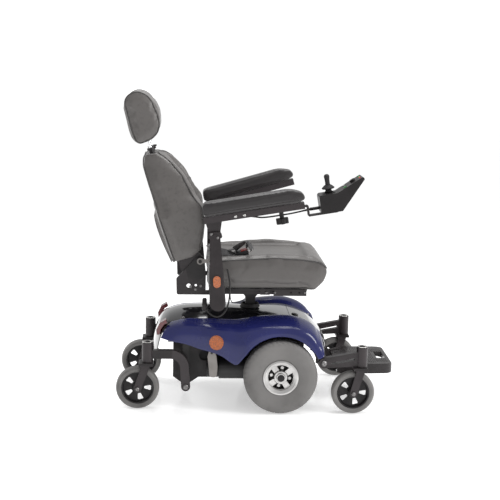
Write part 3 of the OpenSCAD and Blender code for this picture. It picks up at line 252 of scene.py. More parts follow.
def moulded(name, colour, rough, grain=900, depth=0.00008, **sockets):
    """Textured moulded plastic: fine spark grain, slight mottling and uneven gloss."""
    stuff = Stuff(name, colour, rough, Specular_IOR_Level=0.28, **sockets)
    stuff.tint(stuff.noise(14), shade(colour, 1.45)).bump(stuff.noise(grain, 3), 0.5, depth)
    return stuff.roughness(stuff.noise(30), rough - 0.08, rough + 0.1).material


def painted(name, colour, rough):
    """Powder-coated steel: orange peel, paler patches at random, and convex edges tinted lighter as a
    painted highlight.
    """
    stuff = Stuff(name, colour, rough, Specular_IOR_Level=0.3, Coat_Weight=0.1, Coat_Roughness=0.2)
    stuff.tint(stuff.noise(9), shade(colour, 1.5)).bump(stuff.noise(420, 2), 0.35, 0.0001)
    # Convex edges are tinted four times lighter: a painted highlight along the edges.
    edge = stuff.node("NewGeometry").outputs["Pointiness"]
    stuff.tint(edge, shade(colour, 4), 0.53, 0.62, 0.6)
    return stuff.roughness(stuff.noise(24), rough - 0.08, rough + 0.12).material


def glossy(name, colour, flake=None, rough=0.12, coat=1.0, **sockets):
    """Lacquered cover; flake gives it metallic specks."""
    stuff = Stuff(name, colour, rough, Coat_Weight=coat, Coat_Roughness=0.05, **sockets)
    stuff.tint(stuff.noise(5), shade(colour, 1.3))
    if flake:
        stuff.tint(stuff.cells(2600), flake, 0.25, 0.05, 0.55)
    stuff.bump(stuff.noise(60, 2), 0.05, 0.0002)
    return stuff.roughness(stuff.noise(18), rough - 0.04, rough + 0.06).material


def lens(name, colour):
    """Moulded reflector or lamp lens with a prism grid behind a clear face."""
    stuff = Stuff(name, colour, 0.18, Coat_Weight=1.0, Coat_Roughness=0.03)
    # A faint glow in the lens colour is painted light on the reflector, which is no lamp; the tail lamp lens
    # glows the same way.
    stuff.shader.inputs["Emission Color"].default_value = (*colour, 1)
    stuff.shader.inputs["Emission Strength"].default_value = 0.12
    prisms = stuff.cells(260, "F1")
    return stuff.tint(prisms, shade(colour, 0.45), 0.3, 0.7).bump(prisms, 0.7, 0.0006).material


def tyre_rubber(name, colour):
    stuff = Stuff(name, colour, 0.62, Specular_IOR_Level=0.4)
    stuff.tint(stuff.noise(22, 6), shade(colour, 0.72), 0.4, 0.7).tint(stuff.noise(5), shade(colour, 1.3))
    return stuff.bump(stuff.noise(700, 3), 0.5, 0.00015).roughness(stuff.noise(40), 0.5, 0.75).material


def upholstery(name, colour, grain=620):
    """Soft vinyl: pebbled grain, faint creases and a slightly worn, paler sheen."""
    stuff = Stuff(name, colour, 0.42, Specular_IOR_Level=0.6, Sheen_Weight=0.2, Sheen_Roughness=0.3)
    stuff.tint(stuff.noise(2.2, 2), shade(colour, 1.18))
    stuff.tint(stuff.noise(70, 5), shade(colour, 0.94), 0.5, 0.7)
    stuff.bump(stuff.noise(9, 3, (1, 1, 0.5)), 0.3, 0.004)
    stuff.bump(stuff.cells(grain), 0.45, 0.0003)
    return stuff.roughness(stuff.noise(16), 0.38, 0.46).material


def webbing(name, colour):
    """Woven belt: ribs along the strap crossed by fine weft."""
    stuff = Stuff(name, colour, 0.8, Sheen_Weight=0.3)
    # The rib crests, where the bump rises, are tinted 2.6 times lighter: a painted highlight along the ribs.
    stuff.tint(stuff.waves(160, "Y"), shade(colour, 2.6), 0.2, 0.9)
    return stuff.bump(stuff.waves(160, "Y"), 0.6, 0.0005).bump(stuff.waves(260, "X"), 0.5, 0.0004).material


def metal(name, colour, rough, stretch=(1, 1, 1)):
    stuff = Stuff(name, colour, rough, 1.0)
    stuff.tint(stuff.noise(30), shade(colour, 0.8)).bump(stuff.noise(300, 3, stretch), 0.25, 0.0001)
    return stuff.roughness(stuff.noise(60, 4, stretch), rough - 0.06, rough + 0.12).material


GREY = (0.094, 0.087, 0.083)
CHARCOAL = (0.013, 0.0105, 0.0112)
MATERIALS = {
    "frame_paint": painted("frame_paint", (0.010, 0.0085, 0.009), 0.42),
    "arm_paint": painted("arm_paint", (0.012, 0.0098, 0.0105), 0.38),
    "battery_case": moulded("battery_case", (0.015, 0.015, 0.016), 0.6),
    "motor_case": painted("motor_case", (0.014, 0.0135, 0.014), 0.45),
    "module_case": metal("module_case", (0.06, 0.06, 0.065), 0.5),
    "cover_black": glossy("cover_black", (0.008, 0.008, 0.010)),
    "panel_blue": glossy("panel_blue", (0.012, 0.015, 0.088), (0.05, 0.06, 0.24), 0.24, 0.55,
                         Specular_IOR_Level=0.2),
    "reflector_orange": lens("reflector_orange", (0.46, 0.098, 0.005)),
    "lamp_red": lens("lamp_red", (0.14, 0.008, 0.012)),
    "tyre_grey": tyre_rubber("tyre_grey", (0.150, 0.145, 0.141)),
    "rim_silver": metal("rim_silver", (0.60, 0.59, 0.58), 0.36),
    "caster_rim_black": moulded("caster_rim_black", (0.011, 0.010, 0.0105), 0.4),
    "footplate_plastic": moulded("footplate_plastic", (0.022, 0.0195, 0.020), 0.26, 500, 0.0001),
    "lever_grey": moulded("lever_grey", (0.22, 0.205, 0.195), 0.42),
    "seat_cover": upholstery("seat_cover", GREY),
    "pad_skin": upholstery("pad_skin", CHARCOAL, 900),
    "post_cover": moulded("post_cover", (0.019, 0.0155, 0.0165), 0.42),
    "belt_web": webbing("belt_web", (0.010, 0.009, 0.010)),
    "buckle_black": moulded("buckle_black", (0.012, 0.012, 0.013), 0.32),
    "button_red": moulded("button_red", (0.40, 0.02, 0.015), 0.35),
    "cable_black": moulded("cable_black", (0.02, 0.019, 0.019), 0.5, 300, 0.0002),
    "chrome_rod": metal("chrome_rod", (0.82, 0.82, 0.83), 0.1, (1, 1, 0.05)),
    "housing_black": moulded("housing_black", (0.011, 0.0095, 0.010), 0.36),
    "boot_rubber": moulded("boot_rubber", (0.016, 0.015, 0.016), 0.6),
    "ring_steel": metal("ring_steel", (0.35, 0.35, 0.36), 0.35),
    "button_green": moulded("button_green", (0.03, 0.20, 0.05), 0.35),
    "button_grey": moulded("button_grey", (0.36, 0.35, 0.34), 0.4),
}
PIPING = upholstery("piping_vinyl", shade(GREY, 0.42), 900)
THREAD = webbing("thread", shade(GREY, 0.35))
BOLT = metal("bolt_steel", (0.30, 0.29, 0.29), 0.35)
WASHER = metal("washer_steel", (0.75, 0.74, 0.72), 0.25)
# The pocket cloth is a pale copy of the seat vinyl, far lighter than it: a painted highlight standing for
# the light line along the back's rear edge.
POCKET_PAINTED_HIGHLIGHT = upholstery("pocket_cloth_painted_highlight", (0.34, 0.33, 0.33), 1400)


def dress_nodes():
    """Gives every CAD node the procedural material of its slot."""
    for part in frame["record"]["subparts"]:
        mesh = NODES[part["node"]].data
        stuff = MATERIALS[part["material_slot"]]
        if not mesh.materials:
            mesh.materials.append(stuff)
        for slot in NODES[part["node"]].material_slots:
            slot.material = stuff


# ---------- mesh helpers ----------

def piece(name, verts, faces, body, stuff, smooth=True):
    mesh = bpy.data.meshes.new(name)
    mesh.from_pydata([tuple(v) for v in verts], [], faces)
    mesh.validate()
    made = bpy.data.objects.new(name, mesh)
    bpy.context.scene.collection.objects.link(made)
    return settle(made, body, stuff, smooth)


def settle(made, body, stuff, smooth=True):
    made.data.materials.clear()
    made.data.materials.append(stuff)
    if made.type == "MESH":
        made.data.polygons.foreach_set("use_smooth", [smooth] * len(made.data.polygons))
    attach(made, body)
    return made


def baked(made):
    """Applies an object's modifiers to its mesh."""
    made.data = bpy.data.meshes.new_from_object(
        made.evaluated_get(bpy.context.evaluated_depsgraph_get()))
    made.modifiers.clear()
    return made


def catmull(points, steps):
    """A smooth curve through points of any number of coordinates."""
    out = []
    last = len(points) - 1
    for i in range(last):
        a, b, c, d = (points[max(i - 1, 0)], points[i], points[i + 1], points[min(i + 2, last)])
        for k in range(steps):
            t = k / steps
            out.append([0.5 * (2 * q + (r - p) * t + (2 * p - 5 * q + 4 * r - s) * t * t
                               + (3 * q - p - 3 * r + s) * t ** 3) for p, q, r, s in zip(a, b, c, d)])
    return out + [list(points[last])]


def tube(name, path, radius, body, stuff, closed=False, sides=10):
    """A round cord, seam or rod along path; an open path's ends are capped flat."""
    path = [Vector(p) for p in path]
    count = len(path)
    verts, side = [], None
    for i, p in enumerate(path):
        before = path[i - 1] if i or closed else p
        after = path[(i + 1) % count] if i < count - 1 or closed else p
        along = (after - before).normalized()
        if side is None:
            side = along.cross(Vector((0, 0, 1)) if abs(along.z) < 0.9 else Vector((1, 0, 0)))
        side = (side - along * side.dot(along)).normalized()
        other = along.cross(side)
        verts += [p + radius * (math.cos(a) * side + math.sin(a) * other)
                  for a in (2 * math.pi * k / sides for k in range(sides))]
    rings = count if closed else count - 1
    faces = [(i * sides + k, i * sides + (k + 1) % sides, (i + 1) % count * sides + (k + 1) % sides,
              (i + 1) % count * sides + k) for i in range(rings) for k in range(sides)]
    if not closed:
        faces += [tuple(range(sides))[::-1], tuple((count - 1) * sides + k for k in range(sides))]
    return piece(name, verts, faces, body, stuff)


def revolved(name, profile, centre, turn, body, stuff, steps=64, smooth=True, ripple=None):
    """Turns (radius, height) points about an axis; turn takes +Z to that axis.

    A profile whose ends lie off the axis is closed into a ring.
    """
    verts = []
    for k in range(steps):
        a = 2 * math.pi * k / steps
        for r, h in profile:
            out = (r + ripple(a, r, h) if ripple else r) * MM
            verts.append(centre + turn @ Vector((out * math.cos(a), out * math.sin(a), h * MM)))
    n = len(profile)
    faces = []
    for k in range(steps):
        this, following = k * n, (k + 1) % steps * n
        faces += [(this + j, following + j, following + j + 1, this + j + 1) for j in range(n - 1)]
        if profile[0][0] > 0 and profile[-1][0] > 0:
            faces.append((this + n - 1, following + n - 1, following, this))
    made = piece(name, verts, faces, body, stuff, smooth)
    clean = bmesh.new()
    clean.from_mesh(made.data)
    bmesh.ops.remove_doubles(clean, verts=clean.verts, dist=1e-6)
    bmesh.ops.recalc_face_normals(clean, faces=clean.faces)
    clean.to_mesh(made.data)
    clean.free()
    return made


ACROSS = Matrix.Rotation(-math.pi / 2, 3, "X")      # +Z to +Y
NEAR_SIDE = Matrix.Rotation(math.pi / 2, 3, "X")    # +Z to -Y
OUTWARD = {-1: NEAR_SIDE, 1: ACROSS}
UPRIGHT = Matrix.Identity(3)


def bolt(name, place, turn, radius, body, stuff=None):
    """Hexagon-socket screw: washer, domed head and recess."""
    washer = radius * 1.35
    profile = [(0, 0), (washer, 0), (washer, 1), (radius, 1.1), (radius, 3), (radius * 0.8, 4.2),
               (radius * 0.45, 4.4), (radius * 0.42, 2.4), (0, 2.4)]
    return revolved(name, profile, place, turn, body, stuff or BOLT, 18)


def smooth_shell(name, rows, node, body, stuff, thickness=3):
    """A moulded cover through a grid of points, in millimetres."""
    width = len(rows[0])
    verts = [at(*p) for row in rows for p in row]
    faces = [(i * width + j, i * width + j + 1, (i + 1) * width + j + 1, (i + 1) * width + j)
             for i in range(len(rows) - 1) for j in range(width - 1)]
    made = piece(name, verts, faces, body, stuff)
    wall = made.modifiers.new("wall", "SOLIDIFY")
    wall.thickness = thickness * MM
    wall.offset = -1
    round_edge = made.modifiers.new("edge", "BEVEL")
    round_edge.width = 0.9 * MM
    round_edge.segments = 2
    round_edge.angle_limit = math.radians(50)
    baked(made)
    made.data.polygons.foreach_set("use_smooth", [True] * len(made.data.polygons))
    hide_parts(node)
    return made


# ---------- base covers ----------

def deck_rows():
    """Rows across the deck; a station is x, crown, half width, then how far its ends sweep and drop."""
    b, f, d, h = COVER_BACK, COVER_FRONT, DECK_Z, SEAM_Y - 0.3
    stations = [
        [b, 205, 168, 22, 0], [b + 4, 240, 172, 22, 0], [b + 13, d - 99, 176, 22, 2],
        [b + 28, d - 59, 176, 20, 8], [b + 50, d - 32, 160, 8, 20], [b + 78, d - 17, h, 0, 26],
        [b + 115, d - 6, h, 0, 27], [b + 160, d - 1, h, 0, 27], [b + 230, d + 1, h, 0, 28],
        [b + 300, d + 1, h, 0, 29], [-170, d - 1, h, 0, 29], [POST_X, d - 4, h, 0, 22],
        [-60, d - 8, h, 0, 11], [0, d - 12, h, 0, 4], [50, d - 18, h, 0, 3], [f - 116, d - 31, h, 0, 3],
        [f - 76, d - 52, h, 0, 2], [f - 46, d - 76, h, -4, 0], [f - 21, d - 102, h, -10, 0],
        [f - 6, d - 129, h + 4, -14, 0], [f, d - 158, h + 4, -16, 0]]
    across = [k / 16 for k in range(-16, 17)]
    return [[(s[0] + s[3] * abs(q) ** 2.2, s[2] * q, s[1] - s[4] * abs(q) ** 2.2) for q in across]
            for s in catmull(stations, 4)]


def panel_rows(side):
    """Rows down one fender; a station is x, drop at the seam, three pairs of y and drop, then the sweep."""
    b, f, d = COVER_BACK, COVER_FRONT, DECK_Z
    tops = [[28, 171, 19, 268, 50], [26, 177, 11, 272, 42], [22, 181, 4, 275, 33], [17, 184, 0, 276, 27],
            [16, 186, -3, 276, 24], [20, 186, -1, 276, 26], [31, 184, 9, 275, 36], [45, 180, 23, 272, 50],
            [57, 177, 39, 270, 68], [67, 174, 55, 267, 86]]
    angles = [150, 135, 120, 105, 90, 75, 60, 47, 36, 27]
    stations = [
        [b + 84, 40, 150, 40, 182, 59, 198, 92, 47], [b + 104, 35, 152, 33, 196, 50, 208, 103, 24],
        [b + 140, 28, 152, 25, 208, 46, 218, 112, 0], [b + 200, 27, 153, 24, 220, 46, 230, 130, 0],
        [b + 250, 28, 155, 25, 230, 48, 240, 141, 0], [b + 290, 29, 157, 26, 240, 50, 253, 154, 0],
        [-1.17 * ARCH_R, 30, 161, 27, 250, 54, 268, 178, 0],
        [-1.03 * ARCH_R, 30, 165, 25, 258, 54, 279, 181, 0]]
    stations += [[ARCH_R * math.cos(math.radians(a)), *t, PANEL_Y,
                  d - DRIVE_R - ARCH_R * math.sin(math.radians(a)), 0] for a, t in zip(angles, tops)]
    stations += [[f - 43, 80, 170, 72, 262, 104, 286, 150, 0], [f - 35, 98, 166, 92, 256, 122, 282, 146, 0]]
    rows = []
    for p in catmull(stations, 4):
        key = [[p[0], SEAM_Y + 0.3, d - p[1]], [p[0] - p[8] * 0.15, p[2], d - p[3]],
               [p[0] - p[8] * 0.6, p[4], d - p[5]], [p[0] - p[8], p[6], d - p[7]]]
        row = [(x, side * y, z) for x, y, z in catmull(key, 6)]
        rows.append(row if side > 0 else row[::-1])
    return rows


def make_covers():
    smooth_shell("deck_cover", [row[::-1] for row in deck_rows()][::-1], "top_cover", "base",
                 MATERIALS["cover_black"])
    for side, word in SIDES.items():
        smooth_shell(f"fender_{word}", [row[::-1] for row in panel_rows(side)][::-1], f"side_panel_{word}",
                     "base", MATERIALS["panel_blue"])
        lip = [at(ARCH_R * math.cos(a), side * (PANEL_Y - 5), DRIVE_R + 3 + ARCH_R * math.sin(a))
               for a in (math.radians(36 + 112 * k / 40) for k in range(41))]
        tube(f"arch_lip_{word}", lip, 0.0055, "base", MATERIALS["panel_blue"], sides=12)


def deck_point(x, y=0.0):
    """Where a line straight down meets the deck cover, and the way that its surface faces there."""
    tree = BVHTree.FromObject(bpy.data.objects["deck_cover"], bpy.context.evaluated_depsgraph_get())
    place, normal, _, _ = tree.ray_cast(at(x, y, 900), Vector((0, 0, -1)))
    return place, normal


def facing(normal):
    """The turn that takes +Z to normal."""
    return normal.to_track_quat("Z", "Y").to_matrix()


def make_deck_details():
    """Bellows round the seat post, the cross seam, the latch in front of the post, and screws."""
    folds = [(41 + (3 if k % 2 else 0) - k * 1.2, 2 + k * 3) for k in range(6)]
    rings = [(38, 0)] + folds + [(34, 18), (32, 15)]
    top = deck_point(POST_X - 45)[0].z / MM
    revolved("post_bellows", rings, at(POST_X, 0, top - 3), UPRIGHT, "base", MATERIALS["boot_rubber"], 48)
    seam = [deck_point(48, y)[0] for y in range(-126, 127, 12)]
    tube("deck_seam", seam, 0.0009, "base", MATERIALS["boot_rubber"], sides=6)
    place, up = deck_point(74, -60)
    latch = [(0, 0), (15, 0), (15, 2), (13, 4), (5, 4.5), (4, 2.5), (0, 2.5)]
    revolved("deck_latch", latch, place, facing(up), "base", MATERIALS["housing_black"], 28)
    for k, (x, y) in enumerate([(-400, -118), (-400, 118), (150, -116), (150, 116)]):
        place, up = deck_point(x, y)
        bolt(f"deck_screw_{k}", place - up * 0.8 * MM, facing(up), 4, "base")


# ---------- wheels ----------

def tyre_profile(inner, outer, width, bead, power):
    """A tyre's section from bead to bead; a power below 1 squares its shoulders."""
    middle = inner + (outer - inner) * 0.42
    profile = [(inner, -bead / 2), (inner + 3, -bead / 2 - 1)]
    for k in range(-18, 19):
        a = math.radians(5 * k)
        c, s = math.cos(a) ** power, math.copysign(abs(math.sin(a)) ** power, a)
        profile.append((middle + (outer - middle) * c, width / 2 * s))
    return profile + [(inner + 3, bead / 2 + 1), (inner, bead / 2)]


def drive_tread(a, r, h):
    """Blocks staggered across the tread, with grooves between them."""
    if r < DRIVE_R - 13:
        return 0.6 * math.cos(r * 0.9) if abs(h) > DRIVE_W * 0.44 else 0
    pitch = (a * 44 / (2 * math.pi) + abs(h) / 46 + (0.5 if h > 0 else 0)) % 1
    groove = pitch < 0.16 or abs(abs(h) - 14) < 2.2
    return -2.6 if groove else 0


def caster_ribs(_, r, h):
    """Two shallow grooves round a caster tyre."""
    return -0.8 if r > CASTER_R - 4 and abs(abs(h) - 7) < 1.2 else 0


def make_drive_wheel(side, word):
    body, turn = f"drive_wheel_{word}", OUTWARD[side]
    profile = tyre_profile(RIM_R + 0.1, DRIVE_R, DRIVE_W, DRIVE_W - 30, 0.5)
    tyre = revolved(f"drive_tread_{word}", profile, at(0, side * DRIVE_Y, DRIVE_R), turn, body,
                    MATERIALS["tyre_grey"], 264, ripple=drive_tread)
    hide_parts(f"drive_tyre_{word}")
    cap = [(0, 3.4), (18.6, 3.4), (18.3, 5.6), (15, 6), (13, 7.6), (9, 8.4), (0, 8.6)]
    revolved(f"hub_cap_{word}", cap, at(0, side * (DRIVE_Y + 30), DRIVE_R), turn, body,
             MATERIALS["housing_black"], 40)
    # A thin black disc behind the rim's windows: the black hub face that is there, and also painted shade
    # filling the windows.
    flange = [(26.5, 18.2), (52.3, 18.2), (52.3, 18.7), (26.5, 18.7)]
    revolved(f"hub_flange_and_window_shade_{word}", flange, at(0, side * (DRIVE_Y - 16), DRIVE_R), turn, body,
             MATERIALS["caster_rim_black"], 48)


def make_wheels():
    for side, word in SIDES.items():
        make_drive_wheel(side, word)
    profile = tyre_profile(CASTER_RIM_R + 0.1, CASTER_R, CASTER_W, CASTER_W - 8, 0.72)
    for end, x, y in (("front", FRONT_X, FRONT_Y), ("rear", REAR_X, REAR_Y)):
        for side, word in SIDES.items():
            name = f"{end}_caster_{word}"
            tyre = revolved(f"{name}_tyre", profile, at(x, side * y, CASTER_R), ACROSS, name,
                            MATERIALS["tyre_grey"], 120, ripple=caster_ribs)
            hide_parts(f"{end}_caster_tyre_{word}")


def make_fork_details():
    """A washer and a cap over each fork's stem, and a bolt at each end of each caster's axle."""
    washer = [(12.6, 0), (22.4, 0), (22.6, 0.8), (21, 1.5), (12.6, 1.5)]
    cap = [(0, 0), (10.4, 0), (10.4, 1), (9.5, 3), (7, 4.1), (0, 4.4)]
    for end, x, y in (("front", FRONT_X, FRONT_Y), ("rear", REAR_X, REAR_Y)):
        for side, word in SIDES.items():
            body = f"{end}_fork_{word}"
            stem = at(x + FORK_TRAIL[end], side * y, STEM_TOP)
            revolved(f"{end}_barrel_washer_{word}", washer, stem, UPRIGHT, body, WASHER, 40)
            revolved(f"{end}_stem_cap_{word}", cap, stem, UPRIGHT, body, MATERIALS["housing_black"], 30)
            for out, place in ((-1, "in"), (1, "out")):
                bolt(f"{end}_axle_bolt_{word}_{place}", at(x, side * y + out * 38, CASTER_R),
                     OUTWARD[out], 6, body)


# ---------- soft pieces ----------

AIR_STEPS = 20


def soft_from(node, name, body, stuff, voxel=0.006, inset=0.002, rounding=4, pressure=4.0, cap=0.006):
    """Fills a copy of a plain CAD cushion with air, so that it crowns between its edges; cap limits it."""
    made = bpy.data.objects.new(name, NODES[node].data.copy())
    bpy.context.scene.collection.objects.link(made)
    grid = made.modifiers.new("grid", "REMESH")
    grid.mode, grid.voxel_size = "VOXEL", voxel
    slack = made.modifiers.new("slack", "SMOOTH")
    slack.factor, slack.iterations = 0.6, rounding
    shrink = made.modifiers.new("shrink", "DISPLACE")
    shrink.mid_level, shrink.strength = 0.0, -inset
    baked(made)
    rest = [v.co.copy() for v in made.data.vertices]
    cloth = made.modifiers.new("air", "CLOTH")
    cloth.settings.quality = 5
    cloth.settings.use_pressure = True
    cloth.settings.uniform_pressure_force = pressure
    cloth.settings.effector_weights.gravity = 0.0
    cloth.point_cache.frame_end = AIR_STEPS
    for step in range(1, AIR_STEPS + 1):
        bpy.context.scene.frame_set(step)
    swollen = made.evaluated_get(bpy.context.evaluated_depsgraph_get()).data
    moved = [v.co.copy() for v in swollen.vertices]
    made.modifiers.clear()
    bpy.context.scene.frame_set(1)
    for v, before, after in zip(made.data.vertices, rest, moved):
        push = after - before
        v.co = before + (push if push.length <= cap else push * (cap / push.length))
    ease = made.modifiers.new("ease", "SMOOTH")
    ease.factor, ease.iterations = 0.5, 4
    baked(made)
    settle(made, body, stuff)
    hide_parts(node)
    return made


def surface_path(target, points, lift=0.0008, steps=6, closed=False):
    """A smooth line through points, laid on the surface of target."""
    tree = BVHTree.FromObject(target, bpy.context.evaluated_depsgraph_get())
    keys = [tuple(p) for p in points]
    dense = catmull(keys + keys[:1], steps)[:-1] if closed else catmull(keys, steps)
    laid = []
    for p in dense:
        place, normal, _, _ = tree.find_nearest(Vector(p))
        laid.append(place + normal * lift)
    count = len(laid)
    for _ in range(3):
        laid = [(laid[i - 1] + 2 * laid[i] + laid[(i + 1) % count]) / 4 if closed or 0 < i < count - 1
                else laid[i] for i in range(count)]
    return laid


def piping(name, target, points, body, radius=0.0034, closed=False, lift=0.0008):
    path = surface_path(target, points, lift, closed=closed)
    return tube(name, path, radius, body, PIPING, closed, 8)


def stitches(name, target, points, body, closed=False, length=0.0045, gap=0.003):
    """A row of separate threads laid along a line on target."""
    path = surface_path(target, points, 0.0003, 10, closed)
    walk, placed, verts, faces = 0.0, 0.0, [], []
    for a, b in zip(path, path[1:]):
        span = (b - a).length
        while placed + length < walk + span:
            if placed >= walk:
                start = a.lerp(b, (placed - walk) / span)
                along = (b - a).normalized()
                side = along.cross(Vector((0, 0.3, 1))).normalized() * 0.0005
                other = along.cross(side)
                n = len(verts)
                for end in (start, start + along * length):
                    verts += [end + o for o in (side, other, -side, -other)]
                faces += [(n + k, n + (k + 1) % 4, n + 4 + (k + 1) % 4, n + 4 + k) for k in range(4)]
                faces += [(n + 3, n + 2, n + 1, n), (n + 4, n + 5, n + 6, n + 7)]
            placed += length + gap
        walk += span
    return piece(name, verts, faces, body, THREAD, False)


SEAT_SIDE = [(-298, 622), (-240, 633), (-150, 640), (-40, 642), (40, 640), (110, 630), (155, 618),
             (186, 601)]
SKIRT_Z = 508


def make_seat():
    seat = soft_from("seat_cushion", "seat_pad", "seat", MATERIALS["seat_cover"])
    edge = SEAT_W / 2 - 3
    inner = SEAT_W / 2 - 62
    front = range(-200, 201, 50)
    loop = [at(x, -edge, z) for x, z in SEAT_SIDE] + [at(192, y, 598) for y in front]
    loop += [at(x, edge, z) for x, z in SEAT_SIDE[::-1]]
    piping("seat_piping", seat, loop, "seat")
    for side, word in SIDES.items():
        line = [at(x, side * inner, 640) for x in range(-290, 101, 30)]
        line.append(at(150, side * (inner + 14), 620))
        stitches(f"seat_stitch_{word}", seat, line, "seat")
        low = [at(x, side * edge, z - 12) for x, z in SEAT_SIDE[1:]]
        stitches(f"seat_side_stitch_{word}", seat, low, "seat")
    skirt = [at(x, -edge, SKIRT_Z) for x in range(-290, 141, 40)] + [at(150, y, SKIRT_Z) for y in front]
    skirt += [at(x, edge, SKIRT_Z) for x in range(140, -291, -40)]
    piping("seat_skirt_piping", seat, skirt, "seat", 0.0022)


BACK_SEAM = [(16, 219, 34), (34, 219, 66), (52, 219, 105), (64, 219, 150), (71, 219, 195), (61, 216, 240),
             (51, 196, 290), (38, 183, 345), (24, 170, 381), (10, 155, 412), (-4, 136, 436), (-16, 106, 452),
             (-26, 70, 462), (-32, 35, 466), (-33, 0, 467)]


REAR_SEAM = [(-106, 217, 22), (-109, 217, 120), (-110, 217, 220), (-110, 196, 290), (-110, 182, 345),
             (-108, 160, 400), (-106, 130, 445), (-100, 90, 468), (-98, 40, 472), (-98, 0, 472)]


def shell_depth(z):
    """How far the rear shell of the back stands behind the recline pivot, at height z."""
    bulge = math.sin(math.pi * min(max((z + 20) / 300, 0), 1)) ** 0.8
    return 110 + 21 * bulge * (0.45 + 0.55 * min(z / 200, 1))


def keep_off_shell(back):
    """Moves the cushion's rear points forward to the rear shell."""
    c, s = math.cos(BACK_TILT), math.sin(BACK_TILT)
    pivot = at(RECLINE[0], 0, RECLINE[1])
    for v in back.data.vertices:
        forward, rise = (v.co.x - pivot.x) / MM, (v.co.z - pivot.z) / MM
        x = forward * c + rise * s
        z = rise * c - forward * s
        deepest = -shell_depth(z)
        if x < deepest:
            v.co += in_back(deepest, 0, z) - in_back(x, 0, z)


def make_pocket():
    """A cloth pocket, slack in its middle, on the rear shell."""
    steps, width, height, low, slack = 24, 272, 208, 14, 3
    verts = []
    for i in range(steps + 1):
        z = low + height * i / steps
        row_slack = slack * math.sin(math.pi * i / steps) ** 2
        for j in range(steps + 1):
            depth = shell_depth(z) + 2.5 + row_slack * (1 - abs(2 * j / steps - 1) ** 4)
            verts.append(in_back(-depth, width * (j / steps - 0.5), z))
    n = steps + 1
    faces = [(i * n + j, i * n + j + 1, (i + 1) * n + j + 1, (i + 1) * n + j)
             for i in range(steps) for j in range(steps)]
    pocket = piece("back_pocket", verts, faces, "backrest", POCKET_PAINTED_HIGHLIGHT)
    wall = pocket.modifiers.new("wall", "SOLIDIFY")
    wall.thickness = 1.8 * MM
    baked(pocket)


def make_back():
    back = soft_from("back_cushion", "back_pad", "backrest", MATERIALS["seat_cover"])
    keep_off_shell(back)
    for name, seam in (("back_piping", BACK_SEAM), ("back_rear_piping", REAR_SEAM)):
        right = [in_back(x, -y, z) for x, y, z in seam]
        piping(name, back, right + [in_back(x, y, z) for x, y, z in seam[-2::-1]], "backrest")
    for side, word in SIDES.items():
        line = [in_back(x - 11, side * y, z) for x, y, z in BACK_SEAM[:-2]]
        stitches(f"back_stitch_{word}", back, line, "backrest")
        channel = [in_back(40, side * 158, z) for z in range(60, 250, 20)]
        channel += [in_back(30, side * (158 - (z - 250) * 0.35), z) for z in range(270, 440, 20)]
        stitches(f"back_channel_{word}", back, channel, "backrest")
    # Dark cords across the back at three heights mark its folds: painted shade in the creases.
    for k, z in enumerate((120, 215, 310)):
        across = [in_back(60, y, z - 0.0007 * y * y) for y in range(-140, 141, 20)]
        piping(f"back_fold_shade_line_{k}", back, across, "backrest", 0.0015)
    make_pocket()


HEAD_SIDE = [(-92, 519), (-50, 523), (-18, 538), (2, 566), (9, 608), (5, 655), (-10, 692), (-38, 717),
             (-72, 721), (-98, 702), (-108, 660), (-110, 600), (-108, 545)]
HEAD_MIDDLE = (-52, 618)


def make_headrest():
    head = soft_from("headrest_cushion", "head_pad", "headrest", MATERIALS["seat_cover"], voxel=0.0045,
                     inset=-0.003, rounding=3)
    x0, z0 = HEAD_MIDDLE
    for side, word in SIDES.items():
        ring = [in_back(x, side * (HEAD_W / 2 - 3), z) for x, z in HEAD_SIDE]
        piping(f"head_piping_{word}", head, ring, "headrest", 0.0032, True)
        inner = [in_back(x0 + (x - x0) * 0.88, side * HEAD_W / 2, z0 + (z - z0) * 0.9)
                 for x, z in HEAD_SIDE]
        stitches(f"head_stitch_{word}", head, inner, "headrest", True)


def make_arm_pads():
    for side, word in SIDES.items():
        body, stuff = f"arm_{word}", MATERIALS["pad_skin"]
        pad = soft_from(f"arm_pad_{word}", f"arm_cushion_{word}", body, stuff, voxel=0.004, inset=0.0015,
                        rounding=6, pressure=3.0, cap=0.003)
        start = -30 + (24 if side > 0 else 0)
        for edge in (-1, 1):
            line = [in_arm(side, x, edge * 33, 93) for x in range(start, start + 394, 24)]
            tube(f"arm_seam_{word}_{'outer' if edge == side else 'inner'}", surface_path(pad, line, 0.0002),
                 0.0012, body, stuff, sides=6)


# ---------- belt, cables and fittings ----------

def ribbon(name, path, width, body, stuff, thick=0.0022, across=(0, 1, 0), then=None):
    """A flat strap with rolled edges along path; it twists from lying along across to then."""
    first, last = Vector(across), Vector(then or across)
    verts, faces = [], []
    shape = [(-1, 0), (-0.94, 0.8), (-0.86, 1), (0.86, 1), (0.94, 0.8), (1, 0), (0.94, -0.8), (0.86, -1),
             (-0.86, -1), (-0.94, -0.8)]
    n = len(shape)
    for i, p in enumerate(path):
        along = (path[min(i + 1, len(path) - 1)] - path[max(i - 1, 0)]).normalized()
        lies = first.lerp(last, i / (len(path) - 1))
        side = (lies - along * lies.dot(along)).normalized()
        up = along.cross(side)
        verts += [p + side * (a * width / 2) + up * (b * thick / 2) for a, b in shape]
    for i in range(len(path) - 1):
        faces += [(i * n + k, i * n + (k + 1) % n, (i + 1) * n + (k + 1) % n, (i + 1) * n + k)
                  for k in range(n)]
    faces += [tuple(range(n))[::-1], tuple((len(path) - 1) * n + k for k in range(n))]
    return piece(name, verts, faces, body, stuff)


def in_buckle(x, y, z):
    return turned((BUCKLE[0], BUCKLE[2]), BUCKLE_TILT, x, BUCKLE[1] + y, z)


